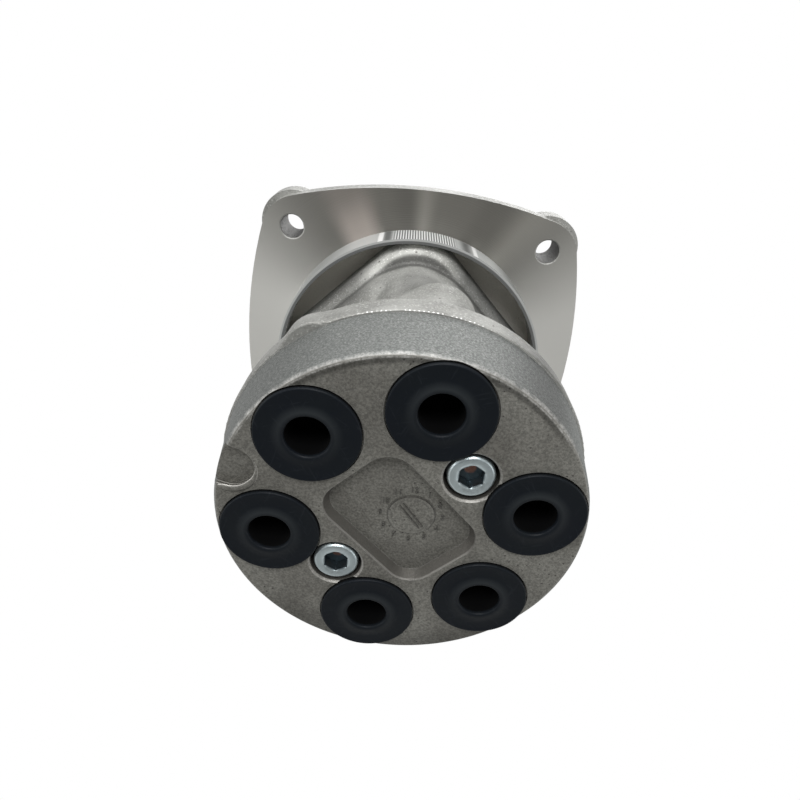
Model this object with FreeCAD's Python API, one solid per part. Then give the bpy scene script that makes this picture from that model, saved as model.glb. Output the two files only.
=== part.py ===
import FreeCAD, Part
import math
import os

# Hydraulic pilot control valve: a joystick-operated block of four pressure reducing spools.
# Millimetres. The origin is the centre of the mounting flange's seat, +Z runs up to the lever,
# -Y is the front, and the port face looks down -Z.

# Casing: overall and flange
VALVE_DEPTH = 84.0           # from the flange seat down to the port face
FLANGE_THICKNESS = 7.5
FLANGE_HALF_WIDTH = 53.5     # at the middle of each side
FLANGE_SIDE_RADIUS = 150.0   # the sides bow outwards
FLANGE_CORNER_RADIUS = 12.0
FLANGE_EDGE_ROUND = 1.6
BOLT_SPACING = 78.4
BOLT_HOLE_RADIUS = 3.5
BOLT_HOLE_BREAK = 0.4
BOLT_BOSS_RADIUS = 10.0
BOLT_BOSS_HEIGHT = 4.5       # above the flange's top

# Casing: spigot, pedestal, neck and foot
SPIGOT_RADIUS = 41.75
SPIGOT_WALL = 1.45
SPIGOT_LENGTH = 10.7
PEDESTAL_DEPTH = 10.0
PEDESTAL_CIRCLE = 24.0
PEDESTAL_CORNER_RADIUS = 15.7
PEDESTAL_EDGE_ROUND = 3.6
SHOULDER_CIRCLE = 13.7        # the neck swells between the lobes to meet the pedestal
SHOULDER_CORNER_RADIUS = 20.0
SHOULDER_HEIGHT = 14.0        # below the pedestal
SHOULDER_EDGE_ROUND = 9.0
LOBE_RADIUS = 10.8
LOBE_CIRCLE = 23.4
WAIST_RADIUS = 20.0          # hollow between two lobes
FOOT_RADIUS = 41.8
FOOT_HEIGHT = 7.5
FOOT_EDGE_ROUND = 1.0
FOOT_LUG_REACH = 43.4
FOOT_LUG_RADIUS = 6.5
FOOT_LUG_ANGLE = -124.5
FOOT_LUG_DROP = 1.2          # below the foot's top
FOOT_LUG_ROUND = 0.8
JOIN_OVERLAP = 1.5           # cast forms run this far into one another

# Port plate
PLATE_THICKNESS = 15.0
PLATE_FACE_RADIUS = 39.4
PLATE_JOINT_RADIUS = 41.5
PLATE_EDGE_ROUND = 1.0
SCREW_AXIS_ANGLE = -45.0     # the port layout is symmetric about this line
SCREW_CIRCLE = 18.7
PORT_CIRCLE = 28.2
SERVICE_PORT_OFFSET = 34.1   # service ports lie this far each side of the screw line
PORT_BORE_RADIUS = 5.9
PORT_BORE_DEPTH = 10.0
PORT_SEAT_DEPTH = 0.7
PORT_BOSS_RADIUS = 9.7
PORT_BOSS_TOP_ROUND = 4.5
PORT_BOSS_HEIGHT = 27.0      # above the foot
SCREW_BOSS_RADIUS = 6.5
SCREW_BOSS_HEIGHT = 9.0      # above the foot
SCREW_BOSS_TOP_ROUND = 3.0
POCKET_HALF_X = 11.2
POCKET_HALF_Y = 15.8
POCKET_CORNER_RADIUS = 6.0
POCKET_DEPTH = 2.5
POCKET_WALL_SLOPE = 1.2
DIAL_X = 2.3
DIAL_Y = -0.4
DIAL_RADIUS = 5.0
DIAL_HEIGHT = 0.4
NOTCH_ANGLE = -163.5
NOTCH_HALF_WIDTH = 5.0
NOTCH_CENTRE_RADIUS = 37.0
NOTCH_DEPTH = 1.7

# Plate screws, hexagon socket, M6
SCREW_RADIUS = 3.0
SCREW_LENGTH = 22.0
SCREW_HEAD_RADIUS = 5.0
SCREW_HEAD_HEIGHT = 6.0
SCREW_HEAD_SINK = 0.3
SCREW_HEAD_ROUND = 0.5
SCREW_SOCKET_FLATS = 5.0
SCREW_SOCKET_DEPTH = 3.0
COUNTERBORE_GAP = 0.75
COUNTERBORE_BREAK = 0.45
SCREW_HOLE_GAP = 0.3

# Shipping plugs
PLUG_FLANGE_RADIUS = 10.75
PLUG_FLANGE_THICKNESS = 1.5
PLUG_STEM_LENGTH = 8.5
PLUG_HOLE_RADIUS = 4.6
PLUG_HOLE_DEPTH = 8.4
PLUG_RIDGE_RADIUS = 6.2
PLUG_RIDGE_WIDTH = 0.8
PLUG_RIDGE_HEIGHT = 0.2
PLUG_EDGE_ROUND = 0.35
PLUG_SEAT_GAP = 0.3
PLUG_FIT = 0.1

# Oil passages
PASSAGE_RADIUS = 2.25
TANK_LINK_RADIUS = 1.9
RISER_RADIUS = 2.5
GALLERY_WELL_RADIUS = 3.4     # the round well where four galleries meet
GALLERY_WELL_HALF = 3.0
TANK_RISER_CIRCLE = 11.0
PRESSURE_GALLERY_RISE = 13.0  # above the joint plane
TANK_GALLERY_RISE = 4.0       # above the spring chamber's floor
SEAL_WIRE_RADIUS = 0.9
SEAL_CENTRE_RADIUS = 4.6
SEAL_GROOVE_SIDE = 0.3
SEAL_GAP = 0.05

# Control units, four round the axis
UNIT_CIRCLE = 22.5
SPOOL_RADIUS = 4.0
SPOOL_FIT = 0.03
SPOOL_STROKE = 2.0
SPOOL_END_GAP = 2.5
SPOOL_COLLAR_RADIUS = 5.2
SPOOL_COLLAR_THICKNESS = 1.6
SPOOL_COLLAR_LIFT = 2.4
SPOOL_NECK_RADIUS = 1.5
SPOOL_HEAD_RADIUS = 1.95
SPOOL_HEAD_THICKNESS = 2.0
SPOOL_HEAD_PLAY = 0.5         # the skirt's lip stays this far under the head at full stroke
SPOOL_GROOVE_RADIUS = 2.8
SPOOL_GROOVE_WIDTH = 4.5
CHAMBER_RADIUS = 7.6
CHAMBER_DEPTH = 26.0          # below the guide bushes
BUSH_RADIUS = 8.0
BUSH_LENGTH = 14.0
BUSH_FIT = 0.02
BUSH_GROOVE_WIDTH = 1.9
BUSH_GROOVE_DROP = 8.0        # below the bush's top
BUSH_RING_WIRE_RADIUS = 0.76
WIPER_RADIUS = 6.4
WIPER_HEIGHT = 3.4
WIPER_GAP = 0.04
PLUNGER_RADIUS = 4.0
PLUNGER_FIT = 0.03
PLUNGER_SHOULDER_RADIUS = 6.5
PLUNGER_SHOULDER_THICKNESS = 2.0
SKIRT_RADIUS = 3.5
SKIRT_LENGTH = 12.0
SKIRT_BORE_RADIUS = 2.2
SKIRT_LIP_RADIUS = 1.7
SKIRT_LIP_THICKNESS = 1.5
SKIRT_BORE_CROWN = 1.0        # the skirt's bore runs this far past the shoulder's underside
SPRING_SEAT_RADIUS = 7.2
SPRING_SEAT_THICKNESS = 2.0
SPRING_SEAT_GAP = 0.1
SPRING_END_GAP = 0.1
RETURN_SPRING_RADIUS = 6.3
RETURN_SPRING_WIRE = 1.2
RETURN_SPRING_TURNS = 5.5
CONTROL_SPRING_RADIUS = 4.4
CONTROL_SPRING_WIRE = 0.9
CONTROL_SPRING_TURNS = 5.5

# Cup under the boot, and the plate that holds the bushes down
CUP_RADIUS = 31.5
CUP_FLOOR_Z = 2.0
RETAINER_THICKNESS = 2.0
RETAINER_EDGE_GAP = 0.5
RETAINER_HOLE_GAP = 0.6

# Universal joint under the lever
PIVOT_Z = 15.0
FORK_REACH = 8.0              # pivot to the fork's and to the yoke's base
EAR_INNER = 5.6
EAR_OUTER = 9.0
EAR_RADIUS = 3.6
PIN_RADIUS = 2.0
PIN_FIT = 0.05
PIN_INNER_END = 2.5
CROSS_HALF = 5.4
CROSS_CORNER_RADIUS = 8.0
STUD_RADIUS = 5.0
STUD_LENGTH = 20.0
STUD_GAP = 0.2
THREAD_FIT = 0.02
FORK_HEX_FLATS = 20.0
YOKE_BASE_RADIUS = 11.0
YOKE_BASE_THICKNESS = 4.0
SHANK_RADIUS = 6.0
SHANK_LENGTH = 21.0

# Actuating plate, nuts and lever
ACTUATOR_RADIUS = 26.5
ACTUATOR_THICKNESS = 4.0
ACTUATOR_LIFT_GAP = 0.05      # between the plate and the plunger domes at rest
HAT_INNER_RADIUS = 13.0
HAT_WALL = 3.0
HAT_TOP_THICKNESS = 3.0
PLATE_NUT_FLATS = 19.0
PLATE_NUT_HEIGHT = 6.0
LEVER_HEX_FLATS = 19.0
LEVER_HEX_HEIGHT = 8.0
LEVER_SLEEVE_RADIUS = 8.5
LEVER_SLEEVE_LENGTH = 16.0
LEVER_BORE_DEPTH = 13.0
LEVER_SHOULDER_HEIGHT = 3.0
LEVER_THREAD_RADIUS = 5.0
LEVER_THREAD_LENGTH = 17.0
GRIP_NUT_FLATS = 17.0
GRIP_NUT_HEIGHT = 6.0
GRIP_NUT_LIFT = 0.5

# Boot, its ring, screws and clip
BOOT_WALL = 1.6
BOOT_BASE_RADIUS = 42.0
BOOT_RIM_WIDTH = 9.0          # the boot's flat rim
BOOT_BASE_THICKNESS = 2.0
BOOT_BOSS_GAP = 0.5           # between the rim and any bolt boss
BOOT_TOP_Z = 58.0
BOOT_NECK_GAP = 0.3
BOOT_NECK_LENGTH = 7.0
BOOT_FOLDS = 4
BOOT_FOLD_DEPTH = 4.0
BOOT_FOLD_SHRINK = 0.5        # share of the fold's depth lost on the way up
BOOT_TAPER_POWER = 1.6        # the folds narrow slowly at first, then faster
BOOT_RISE = 4.0               # straight wall above the base, before the first fold
BOOT_SHOULDER_SET_BACK = 8.0  # from the rim's edge to the wall's outside
BOOT_RING_WIDTH = 5.4
BOOT_RING_THICKNESS = 2.0
BOOT_SCREW_SET_BACK = 2.6     # from the ring's edge to the screws
BOOT_SCREW_RADIUS = 1.25
BOOT_SCREW_LENGTH = 8.0
BOOT_SCREW_HEAD_RADIUS = 2.2
BOOT_SCREW_HEAD_HEIGHT = 1.6
BOOT_SCREW_HEAD_ROUND = 0.5
BOOT_SCREW_SOCKET_DEPTH = 0.8
BOOT_SCREW_SOCKET_FLATS = 1.6
BOOT_SCREW_GAP = 0.15
CLIP_THICKNESS = 1.2
CLIP_WIDTH = 4.0
CLIP_DROP = 2.0               # below the boot's top
CLIP_GAP = 0.3

# Heights that follow
V = FreeCAD.Vector
FACE_Z = -VALVE_DEPTH
JOINT_Z = FACE_Z + PLATE_THICKNESS
FOOT_TOP_Z = JOINT_Z + FOOT_HEIGHT
PASSAGE_Z = FACE_Z + PORT_BORE_DEPTH
PRESSURE_GALLERY_Z = JOINT_Z + PRESSURE_GALLERY_RISE
BUSH_BOTTOM_Z = CUP_FLOOR_Z - BUSH_LENGTH
CHAMBER_FLOOR_Z = BUSH_BOTTOM_Z - CHAMBER_DEPTH
TANK_GALLERY_Z = CHAMBER_FLOOR_Z + TANK_GALLERY_RISE
RETAINER_TOP_Z = CUP_FLOOR_Z + RETAINER_THICKNESS
SHOULDER_BOTTOM_Z = BUSH_BOTTOM_Z - PLUNGER_SHOULDER_THICKNESS
SPRING_SEAT_BOTTOM_Z = SHOULDER_BOTTOM_Z - SPRING_SEAT_THICKNESS
SPOOL_BOTTOM_Z = JOINT_Z + SPOOL_END_GAP
COLLAR_BOTTOM_Z = CHAMBER_FLOOR_Z + SPOOL_COLLAR_LIFT
COLLAR_TOP_Z = COLLAR_BOTTOM_Z + SPOOL_COLLAR_THICKNESS
SKIRT_BOTTOM_Z = SHOULDER_BOTTOM_Z - SKIRT_LENGTH
SKIRT_BORE_TOP_Z = SHOULDER_BOTTOM_Z + SKIRT_BORE_CROWN
FORK_BASE_Z = PIVOT_Z - FORK_REACH
YOKE_BASE_Z = PIVOT_Z + FORK_REACH
YOKE_TOP_Z = YOKE_BASE_Z + YOKE_BASE_THICKNESS
ACTUATOR_Z = PIVOT_Z + PLUNGER_RADIUS + ACTUATOR_LIFT_GAP
HAT_TOP_Z = YOKE_TOP_Z + HAT_TOP_THICKNESS
PLATE_NUT_TOP_Z = HAT_TOP_Z + PLATE_NUT_HEIGHT
LEVER_HEX_TOP_Z = PLATE_NUT_TOP_Z + LEVER_HEX_HEIGHT
LEVER_SLEEVE_TOP_Z = LEVER_HEX_TOP_Z + LEVER_SLEEVE_LENGTH
LEVER_SHOULDER_TOP_Z = LEVER_SLEEVE_TOP_Z + LEVER_SHOULDER_HEIGHT
LEVER_TOP_Z = LEVER_SHOULDER_TOP_Z + LEVER_THREAD_LENGTH
BOOT_BASE_TOP_Z = FLANGE_THICKNESS + BOOT_BASE_THICKNESS
BOOT_RING_TOP_Z = BOOT_BASE_TOP_Z + BOOT_RING_THICKNESS
BOOT_NECK_RADIUS = LEVER_SLEEVE_RADIUS + BOOT_NECK_GAP
BOOT_BASE_INNER = BOOT_BASE_RADIUS - BOOT_RIM_WIDTH
BOOT_SHOULDER_RADIUS = BOOT_BASE_RADIUS - BOOT_SHOULDER_SET_BACK
BOOT_RING_INNER = BOOT_BASE_RADIUS - BOOT_RING_WIDTH
BOOT_SCREW_CIRCLE = BOOT_BASE_RADIUS - BOOT_SCREW_SET_BACK

# Directions of the four control units, and the port beside each
UNITS = {"front": -90.0, "right": 0.0, "back": 90.0, "left": 180.0}
SERVICE_PORTS = {
    "front": SCREW_AXIS_ANGLE - SERVICE_PORT_OFFSET,
    "right": SCREW_AXIS_ANGLE + SERVICE_PORT_OFFSET,
    "back": SCREW_AXIS_ANGLE + 180.0 - SERVICE_PORT_OFFSET,
    "left": SCREW_AXIS_ANGLE + 180.0 + SERVICE_PORT_OFFSET,
}
PRESSURE_PORT = SCREW_AXIS_ANGLE - 90.0
TANK_PORT = SCREW_AXIS_ANGLE + 90.0
SCREW_ANGLES = (SCREW_AXIS_ANGLE, SCREW_AXIS_ANGLE + 180.0)
QUARTERS = (0.0, 90.0, 180.0, 270.0)
CUT_MARGIN = 1.0             # cutters run this far past the face they open


def polar(radius, angle, z=0.0):
    """A point at a radius and an angle in degrees."""
    turn = math.radians(angle)
    return V(radius * math.cos(turn), radius * math.sin(turn), z)


def rod(radius, z0, z1, at=V(0, 0, 0)):
    """An upright cylinder between two heights."""
    return Part.makeCylinder(radius, z1 - z0, V(at.x, at.y, z0))


def taper(radius0, radius1, z0, z1, at=V(0, 0, 0)):
    """An upright cone frustum between two heights."""
    return Part.makeCone(radius0, radius1, z1 - z0, V(at.x, at.y, z0))


def tube(outer, inner, z0, z1, at=V(0, 0, 0)):
    """An upright ring."""
    return rod(outer, z0, z1, at).cut(rod(inner, z0, z1, at))


def block(x0, x1, y0, y1, z0, z1):
    """A box between two corners."""
    return Part.makeBox(x1 - x0, y1 - y0, z1 - z0, V(x0, y0, z0))


def prism(wire, z0, z1):
    """A flat outline at z = 0, raised between two heights."""
    face = Part.Face(wire)
    face.translate(V(0, 0, z0))
    return face.extrude(V(0, 0, z1 - z0))


def turned(profile, at=V(0, 0, 0)):
    """A solid turned from (radius, height) points about an upright axis."""
    points = [V(r, 0, z) for r, z in profile]
    face = Part.Face(Part.makePolygon(points + points[:1]))
    solid = face.revolve(V(0, 0, 0), V(0, 0, 1), 360)
    solid.translate(V(at.x, at.y, 0))
    return solid


def hexagon(flats, z0, z1, at=V(0, 0, 0)):
    """A hexagonal bar, across-flats size given."""
    corner = flats / math.sqrt(3)
    points = [polar(corner, 60.0 * k) for k in range(7)]
    solid = prism(Part.makePolygon(points), z0, z1)
    solid.translate(V(at.x, at.y, 0))
    return solid


def level_edges(shape, z):
    """The edges that lie flat at a height."""
    flat = [e for e in shape.Edges if e.BoundBox.ZLength < 1e-4]
    return [e for e in flat if abs(e.BoundBox.ZMin - z) < 1e-4]


def rounded_level(shape, radius, z):
    """Rounds every flat edge at a height."""
    return shape.makeFillet(radius, level_edges(shape, z))


def arc(start, middle, end):
    return Part.Arc(start, middle, end).toShape()


def line(start, end):
    return Part.LineSegment(start, end).toShape()


def drilling(radius, start, end):
    """A round passage between two points."""
    run = end - start
    return Part.makeCylinder(radius, run.Length, start, run)


def flange_outline():
    """Four bowed sides joined by round corners."""
    bow_centre = FLANGE_HALF_WIDTH - FLANGE_SIDE_RADIUS
    inside = FLANGE_SIDE_RADIUS - FLANGE_CORNER_RADIUS
    corner = (bow_centre + math.sqrt(2 * inside**2 - bow_centre**2)) / 2
    lean = math.degrees(math.atan2(corner, corner - bow_centre))
    corner_centre = V(corner, corner, 0)
    edges = []
    for turn in QUARTERS:
        low = V(bow_centre, 0, 0) + polar(FLANGE_SIDE_RADIUS, -lean)
        high = V(bow_centre, 0, 0) + polar(FLANGE_SIDE_RADIUS, lean)
        corner_middle = corner_centre + polar(FLANGE_CORNER_RADIUS, 45.0)
        corner_end = V(high.y, high.x, 0)
        side = arc(low, V(FLANGE_HALF_WIDTH, 0, 0), high)
        round_corner = arc(high, corner_middle, corner_end)
        for edge in (side, round_corner):
            edge.rotate(V(0, 0, 0), V(0, 0, 1), turn)
            edges.append(edge)
    return Part.Wire(Part.__sortEdges__(edges))


def diamond_outline(radius, circle):
    """The outline round four equal circles, one on each axis."""
    edges = []
    for turn in QUARTERS:
        centre = polar(circle, turn)
        next_centre = polar(circle, turn + 90.0)
        start = centre + polar(radius, turn - 45.0)
        end = centre + polar(radius, turn + 45.0)
        edges.append(arc(start, centre + polar(radius, turn), end))
        edges.append(line(end, next_centre + polar(radius, turn + 45.0)))
    return Part.Wire(Part.__sortEdges__(edges))


def lobed_outline():
    """Four round lobes joined by hollow waists."""
    spread = LOBE_RADIUS + WAIST_RADIUS
    half = LOBE_CIRCLE / math.sqrt(2)
    waist_centre = half + math.sqrt(spread**2 - half**2)
    edges = []
    for turn in QUARTERS:
        lobe = polar(LOBE_CIRCLE, turn)
        before = polar(waist_centre, turn - 45.0)
        after = polar(waist_centre, turn + 45.0)
        next_lobe = polar(LOBE_CIRCLE, turn + 90.0)
        start = lobe + (before - lobe) * (LOBE_RADIUS / spread)
        end = lobe + (after - lobe) * (LOBE_RADIUS / spread)
        next_start = next_lobe + (after - next_lobe) * (LOBE_RADIUS / spread)
        waist = polar(waist_centre - WAIST_RADIUS, turn + 45.0)
        edges.append(arc(start, polar(LOBE_CIRCLE + LOBE_RADIUS, turn), end))
        edges.append(arc(end, waist, next_start))
    return Part.Wire(Part.__sortEdges__(edges))


def rounded_rectangle(half_x, half_y, radius):
    """A rectangle with round corners, centred on the axis."""
    edges = []
    inner_x = half_x - radius
    inner_y = half_y - radius
    corners = ((inner_x, inner_y, 0.0), (-inner_x, inner_y, 90.0),
               (-inner_x, -inner_y, 180.0), (inner_x, -inner_y, 270.0))
    for k, (x, y, turn) in enumerate(corners):
        centre = V(x, y, 0)
        next_x, next_y, next_turn = corners[(k + 1) % len(corners)]
        start = centre + polar(radius, turn)
        end = centre + polar(radius, turn + 90.0)
        edges.append(arc(start, centre + polar(radius, turn + 45.0), end))
        edges.append(line(end, V(next_x, next_y, 0) + polar(radius, next_turn)))
    return Part.Wire(Part.__sortEdges__(edges))


def bolt_places():
    half = BOLT_SPACING / 2
    return [V(x, y, 0) for x in (-half, half) for y in (-half, half)]


def riser_places():
    """Where each passage crosses the joint plane between plate and casing."""
    places = [polar(UNIT_CIRCLE, angle) for angle in UNITS.values()]
    return places + [V(0, 0, 0), polar(TANK_RISER_CIRCLE, TANK_PORT)]


def domed_boss(radius, z0, z1, top_round, at):
    """A cast boss with a rounded top."""
    return rounded_level(rod(radius, z0, z1, at), top_round, z1)


def casing_outside():
    """The cast casing before any hole is made."""
    flange = rounded_level(prism(flange_outline(), 0, FLANGE_THICKNESS),
                           FLANGE_EDGE_ROUND, FLANGE_THICKNESS)
    boss_top = FLANGE_THICKNESS + BOLT_BOSS_HEIGHT
    boot_space = rod(BOOT_BASE_RADIUS + BOOT_BOSS_GAP, FLANGE_THICKNESS, boss_top + CUT_MARGIN)
    bolt_bosses = [domed_boss(BOLT_BOSS_RADIUS, FLANGE_THICKNESS / 2, boss_top,
                              FLANGE_EDGE_ROUND, place).cut(boot_space) for place in bolt_places()]
    spigot = tube(SPIGOT_RADIUS, SPIGOT_RADIUS - SPIGOT_WALL, -SPIGOT_LENGTH, JOIN_OVERLAP)
    diamond = prism(diamond_outline(PEDESTAL_CORNER_RADIUS, PEDESTAL_CIRCLE), -PEDESTAL_DEPTH,
                    JOIN_OVERLAP)
    pedestal = rounded_level(diamond, PEDESTAL_EDGE_ROUND, -PEDESTAL_DEPTH)
    shoulder_z = -PEDESTAL_DEPTH - SHOULDER_HEIGHT
    shoulder = prism(diamond_outline(SHOULDER_CORNER_RADIUS, SHOULDER_CIRCLE), shoulder_z,
                     JOIN_OVERLAP - PEDESTAL_DEPTH)
    shoulder = rounded_level(shoulder, SHOULDER_EDGE_ROUND, shoulder_z)
    neck = prism(lobed_outline(), FOOT_TOP_Z - JOIN_OVERLAP, JOIN_OVERLAP - PEDESTAL_DEPTH)
    foot = rounded_level(rod(FOOT_RADIUS, JOINT_Z, FOOT_TOP_Z), FOOT_EDGE_ROUND, FOOT_TOP_Z)
    lug_centre = polar(FOOT_LUG_REACH - FOOT_LUG_RADIUS, FOOT_LUG_ANGLE)
    lug = domed_boss(FOOT_LUG_RADIUS, JOINT_Z, FOOT_TOP_Z - FOOT_LUG_DROP, FOOT_LUG_ROUND,
                     lug_centre)
    port_bosses = [domed_boss(PORT_BOSS_RADIUS, FOOT_TOP_Z - FOOT_HEIGHT / 2,
                              FOOT_TOP_Z + PORT_BOSS_HEIGHT, PORT_BOSS_TOP_ROUND,
                              polar(PORT_CIRCLE, angle)) for angle in SERVICE_PORTS.values()]
    screw_bosses = [domed_boss(SCREW_BOSS_RADIUS, FOOT_TOP_Z - FOOT_HEIGHT / 2,
                               FOOT_TOP_Z + SCREW_BOSS_HEIGHT, SCREW_BOSS_TOP_ROUND,
                               polar(SCREW_CIRCLE, angle)) for angle in SCREW_ANGLES]
    pieces = bolt_bosses + [spigot, pedestal, shoulder, neck, foot, lug]
    pieces += port_bosses + screw_bosses
    return flange.fuse(pieces).removeSplitter()


def casing_unit_bores():
    """Spool bore, spring chamber and bush seat of each control unit."""
    cuts = []
    for angle in UNITS.values():
        at = polar(UNIT_CIRCLE, angle)
        cuts.append(rod(SPOOL_RADIUS + SPOOL_FIT, JOINT_Z - CUT_MARGIN, CHAMBER_FLOOR_Z, at))
        cuts.append(rod(CHAMBER_RADIUS, CHAMBER_FLOOR_Z, BUSH_BOTTOM_Z, at))
        cuts.append(rod(BUSH_RADIUS + BUSH_FIT, BUSH_BOTTOM_Z, CUP_FLOOR_Z + CUT_MARGIN, at))
    return cuts


def casing_passages():
    """Pressure and tank risers, and the galleries that meet in a round well on the axis."""
    tank_riser = polar(TANK_RISER_CIRCLE, TANK_PORT)
    cuts = [rod(RISER_RADIUS, JOINT_Z - CUT_MARGIN, PRESSURE_GALLERY_Z)]
    cuts.append(rod(RISER_RADIUS, JOINT_Z - CUT_MARGIN, TANK_GALLERY_Z + GALLERY_WELL_HALF,
                    tank_riser))
    cuts.append(drilling(TANK_LINK_RADIUS, V(0, 0, TANK_GALLERY_Z),
                         tank_riser + V(0, 0, TANK_GALLERY_Z)))
    for level in (PRESSURE_GALLERY_Z, TANK_GALLERY_Z):
        cuts.append(rod(GALLERY_WELL_RADIUS, level - GALLERY_WELL_HALF,
                        level + GALLERY_WELL_HALF))
        for angle in UNITS.values():
            cuts.append(drilling(PASSAGE_RADIUS, V(0, 0, level),
                                 polar(UNIT_CIRCLE, angle, level)))
    return cuts


def seal_groove(at):
    inner = SEAL_CENTRE_RADIUS - SEAL_WIRE_RADIUS - SEAL_GROOVE_SIDE
    outer = SEAL_CENTRE_RADIUS + SEAL_WIRE_RADIUS + SEAL_GROOVE_SIDE
    return tube(outer, inner, JOINT_Z - 2 * SEAL_WIRE_RADIUS, JOINT_Z + CUT_MARGIN, at)


def make_casing():
    """Casing: flange, spigot, neck and foot in one casting, with all its bores."""
    cuts = casing_unit_bores() + casing_passages()
    cuts.append(rod(CUP_RADIUS, CUP_FLOOR_Z, FLANGE_THICKNESS + CUT_MARGIN))
    stud_floor = RETAINER_TOP_Z - STUD_LENGTH - STUD_GAP
    cuts.append(rod(STUD_RADIUS + THREAD_FIT, stud_floor, CUP_FLOOR_Z + CUT_MARGIN))
    screw_floor = FACE_Z + SCREW_HEAD_SINK + SCREW_HEAD_HEIGHT + SCREW_LENGTH + SCREW_HOLE_GAP
    for angle in SCREW_ANGLES:
        cuts.append(rod(SCREW_RADIUS + THREAD_FIT, JOINT_Z - CUT_MARGIN, screw_floor,
                        polar(SCREW_CIRCLE, angle)))
    boss_top = FLANGE_THICKNESS + BOLT_BOSS_HEIGHT
    wide = BOLT_HOLE_RADIUS + BOLT_HOLE_BREAK
    for place in bolt_places():
        cuts.append(rod(BOLT_HOLE_RADIUS, -CUT_MARGIN, boss_top + CUT_MARGIN, place))
        cuts.append(taper(wide, BOLT_HOLE_RADIUS, 0, BOLT_HOLE_BREAK, place))
    boot_screw_floor = BOOT_RING_TOP_Z - BOOT_SCREW_LENGTH - BOOT_SCREW_GAP
    for turn in QUARTERS:
        cuts.append(rod(BOOT_SCREW_RADIUS + THREAD_FIT, boot_screw_floor,
                        FLANGE_THICKNESS + CUT_MARGIN, polar(BOOT_SCREW_CIRCLE, turn)))
    return casing_outside().cut(cuts)


def plate_pocket():
    """Sloped-wall pocket in the middle of the port face, with its round dial standing in it."""
    outer = rounded_rectangle(POCKET_HALF_X, POCKET_HALF_Y, POCKET_CORNER_RADIUS)
    inner = rounded_rectangle(POCKET_HALF_X - POCKET_WALL_SLOPE, POCKET_HALF_Y - POCKET_WALL_SLOPE,
                              POCKET_CORNER_RADIUS - POCKET_WALL_SLOPE)
    outer.translate(V(0, 0, FACE_Z))
    inner.translate(V(0, 0, FACE_Z + POCKET_DEPTH))
    pocket = Part.makeLoft([outer, inner], True, True)
    pocket.rotate(V(0, 0, 0), V(0, 0, 1), SCREW_AXIS_ANGLE)
    floor_z = FACE_Z + POCKET_DEPTH
    dial = rod(DIAL_RADIUS, floor_z - DIAL_HEIGHT, floor_z, V(DIAL_X, DIAL_Y, 0))
    return pocket.cut(dial)


def plate_notch():
    """Shallow round-ended notch at the edge of the port face."""
    top = FACE_Z + NOTCH_DEPTH
    slot = rod(NOTCH_HALF_WIDTH, FACE_Z - CUT_MARGIN, top, V(NOTCH_CENTRE_RADIUS, 0, 0))
    run_out = block(NOTCH_CENTRE_RADIUS, PLATE_JOINT_RADIUS + CUT_MARGIN, -NOTCH_HALF_WIDTH,
                    NOTCH_HALF_WIDTH, FACE_Z - CUT_MARGIN, top)
    notch = slot.fuse(run_out)
    notch.rotate(V(0, 0, 0), V(0, 0, 1), NOTCH_ANGLE)
    return notch


def plate_ports():
    """Port bores and plug seats, and the passages from each port to its riser."""
    cuts = []
    routes = [(SERVICE_PORTS[unit], polar(UNIT_CIRCLE, UNITS[unit])) for unit in UNITS]
    routes.append((PRESSURE_PORT, V(0, 0, 0)))
    routes.append((TANK_PORT, polar(TANK_RISER_CIRCLE, TANK_PORT)))
    for angle, riser in routes:
        port = polar(PORT_CIRCLE, angle)
        cuts.append(rod(PORT_BORE_RADIUS, FACE_Z - CUT_MARGIN, PASSAGE_Z, port))
        cuts.append(rod(PLUG_FLANGE_RADIUS + PLUG_SEAT_GAP, FACE_Z - CUT_MARGIN,
                        FACE_Z + PORT_SEAT_DEPTH, port))
        level = V(0, 0, PASSAGE_Z)
        cuts.append(drilling(PASSAGE_RADIUS, port + level, riser + level))
        cuts.append(rod(RISER_RADIUS, PASSAGE_Z, JOINT_Z + CUT_MARGIN, riser))
    return cuts


def make_port_plate():
    """Round port plate with six ports, screwed under the casing's foot."""
    disc = taper(PLATE_FACE_RADIUS, PLATE_JOINT_RADIUS, FACE_Z, JOINT_Z)
    disc = rounded_level(disc, PLATE_EDGE_ROUND, FACE_Z)
    cuts = plate_ports() + [plate_pocket(), plate_notch()]
    cuts += [seal_groove(at) for at in riser_places()]
    seat = FACE_Z + SCREW_HEAD_SINK + SCREW_HEAD_HEIGHT
    bore = SCREW_HEAD_RADIUS + COUNTERBORE_GAP
    for angle in SCREW_ANGLES:
        at = polar(SCREW_CIRCLE, angle)
        cuts.append(rod(bore, FACE_Z - CUT_MARGIN, seat, at))
        cuts.append(taper(bore + COUNTERBORE_BREAK, bore, FACE_Z, FACE_Z + COUNTERBORE_BREAK, at))
        cuts.append(rod(SCREW_RADIUS + SCREW_HOLE_GAP, seat, JOINT_Z + CUT_MARGIN, at))
    return disc.cut(cuts)


def make_plate_screws():
    """Two hexagon socket screws that hold the port plate."""
    head_z = FACE_Z + SCREW_HEAD_SINK
    seat = head_z + SCREW_HEAD_HEIGHT
    screws = []
    for angle in SCREW_ANGLES:
        at = polar(SCREW_CIRCLE, angle)
        head = rounded_level(rod(SCREW_HEAD_RADIUS, head_z, seat, at), SCREW_HEAD_ROUND, head_z)
        screw = head.fuse(rod(SCREW_RADIUS, seat, seat + SCREW_LENGTH, at))
        socket = hexagon(SCREW_SOCKET_FLATS, head_z - CUT_MARGIN, head_z + SCREW_SOCKET_DEPTH, at)
        screws.append(screw.cut(socket))
    return screws


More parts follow.
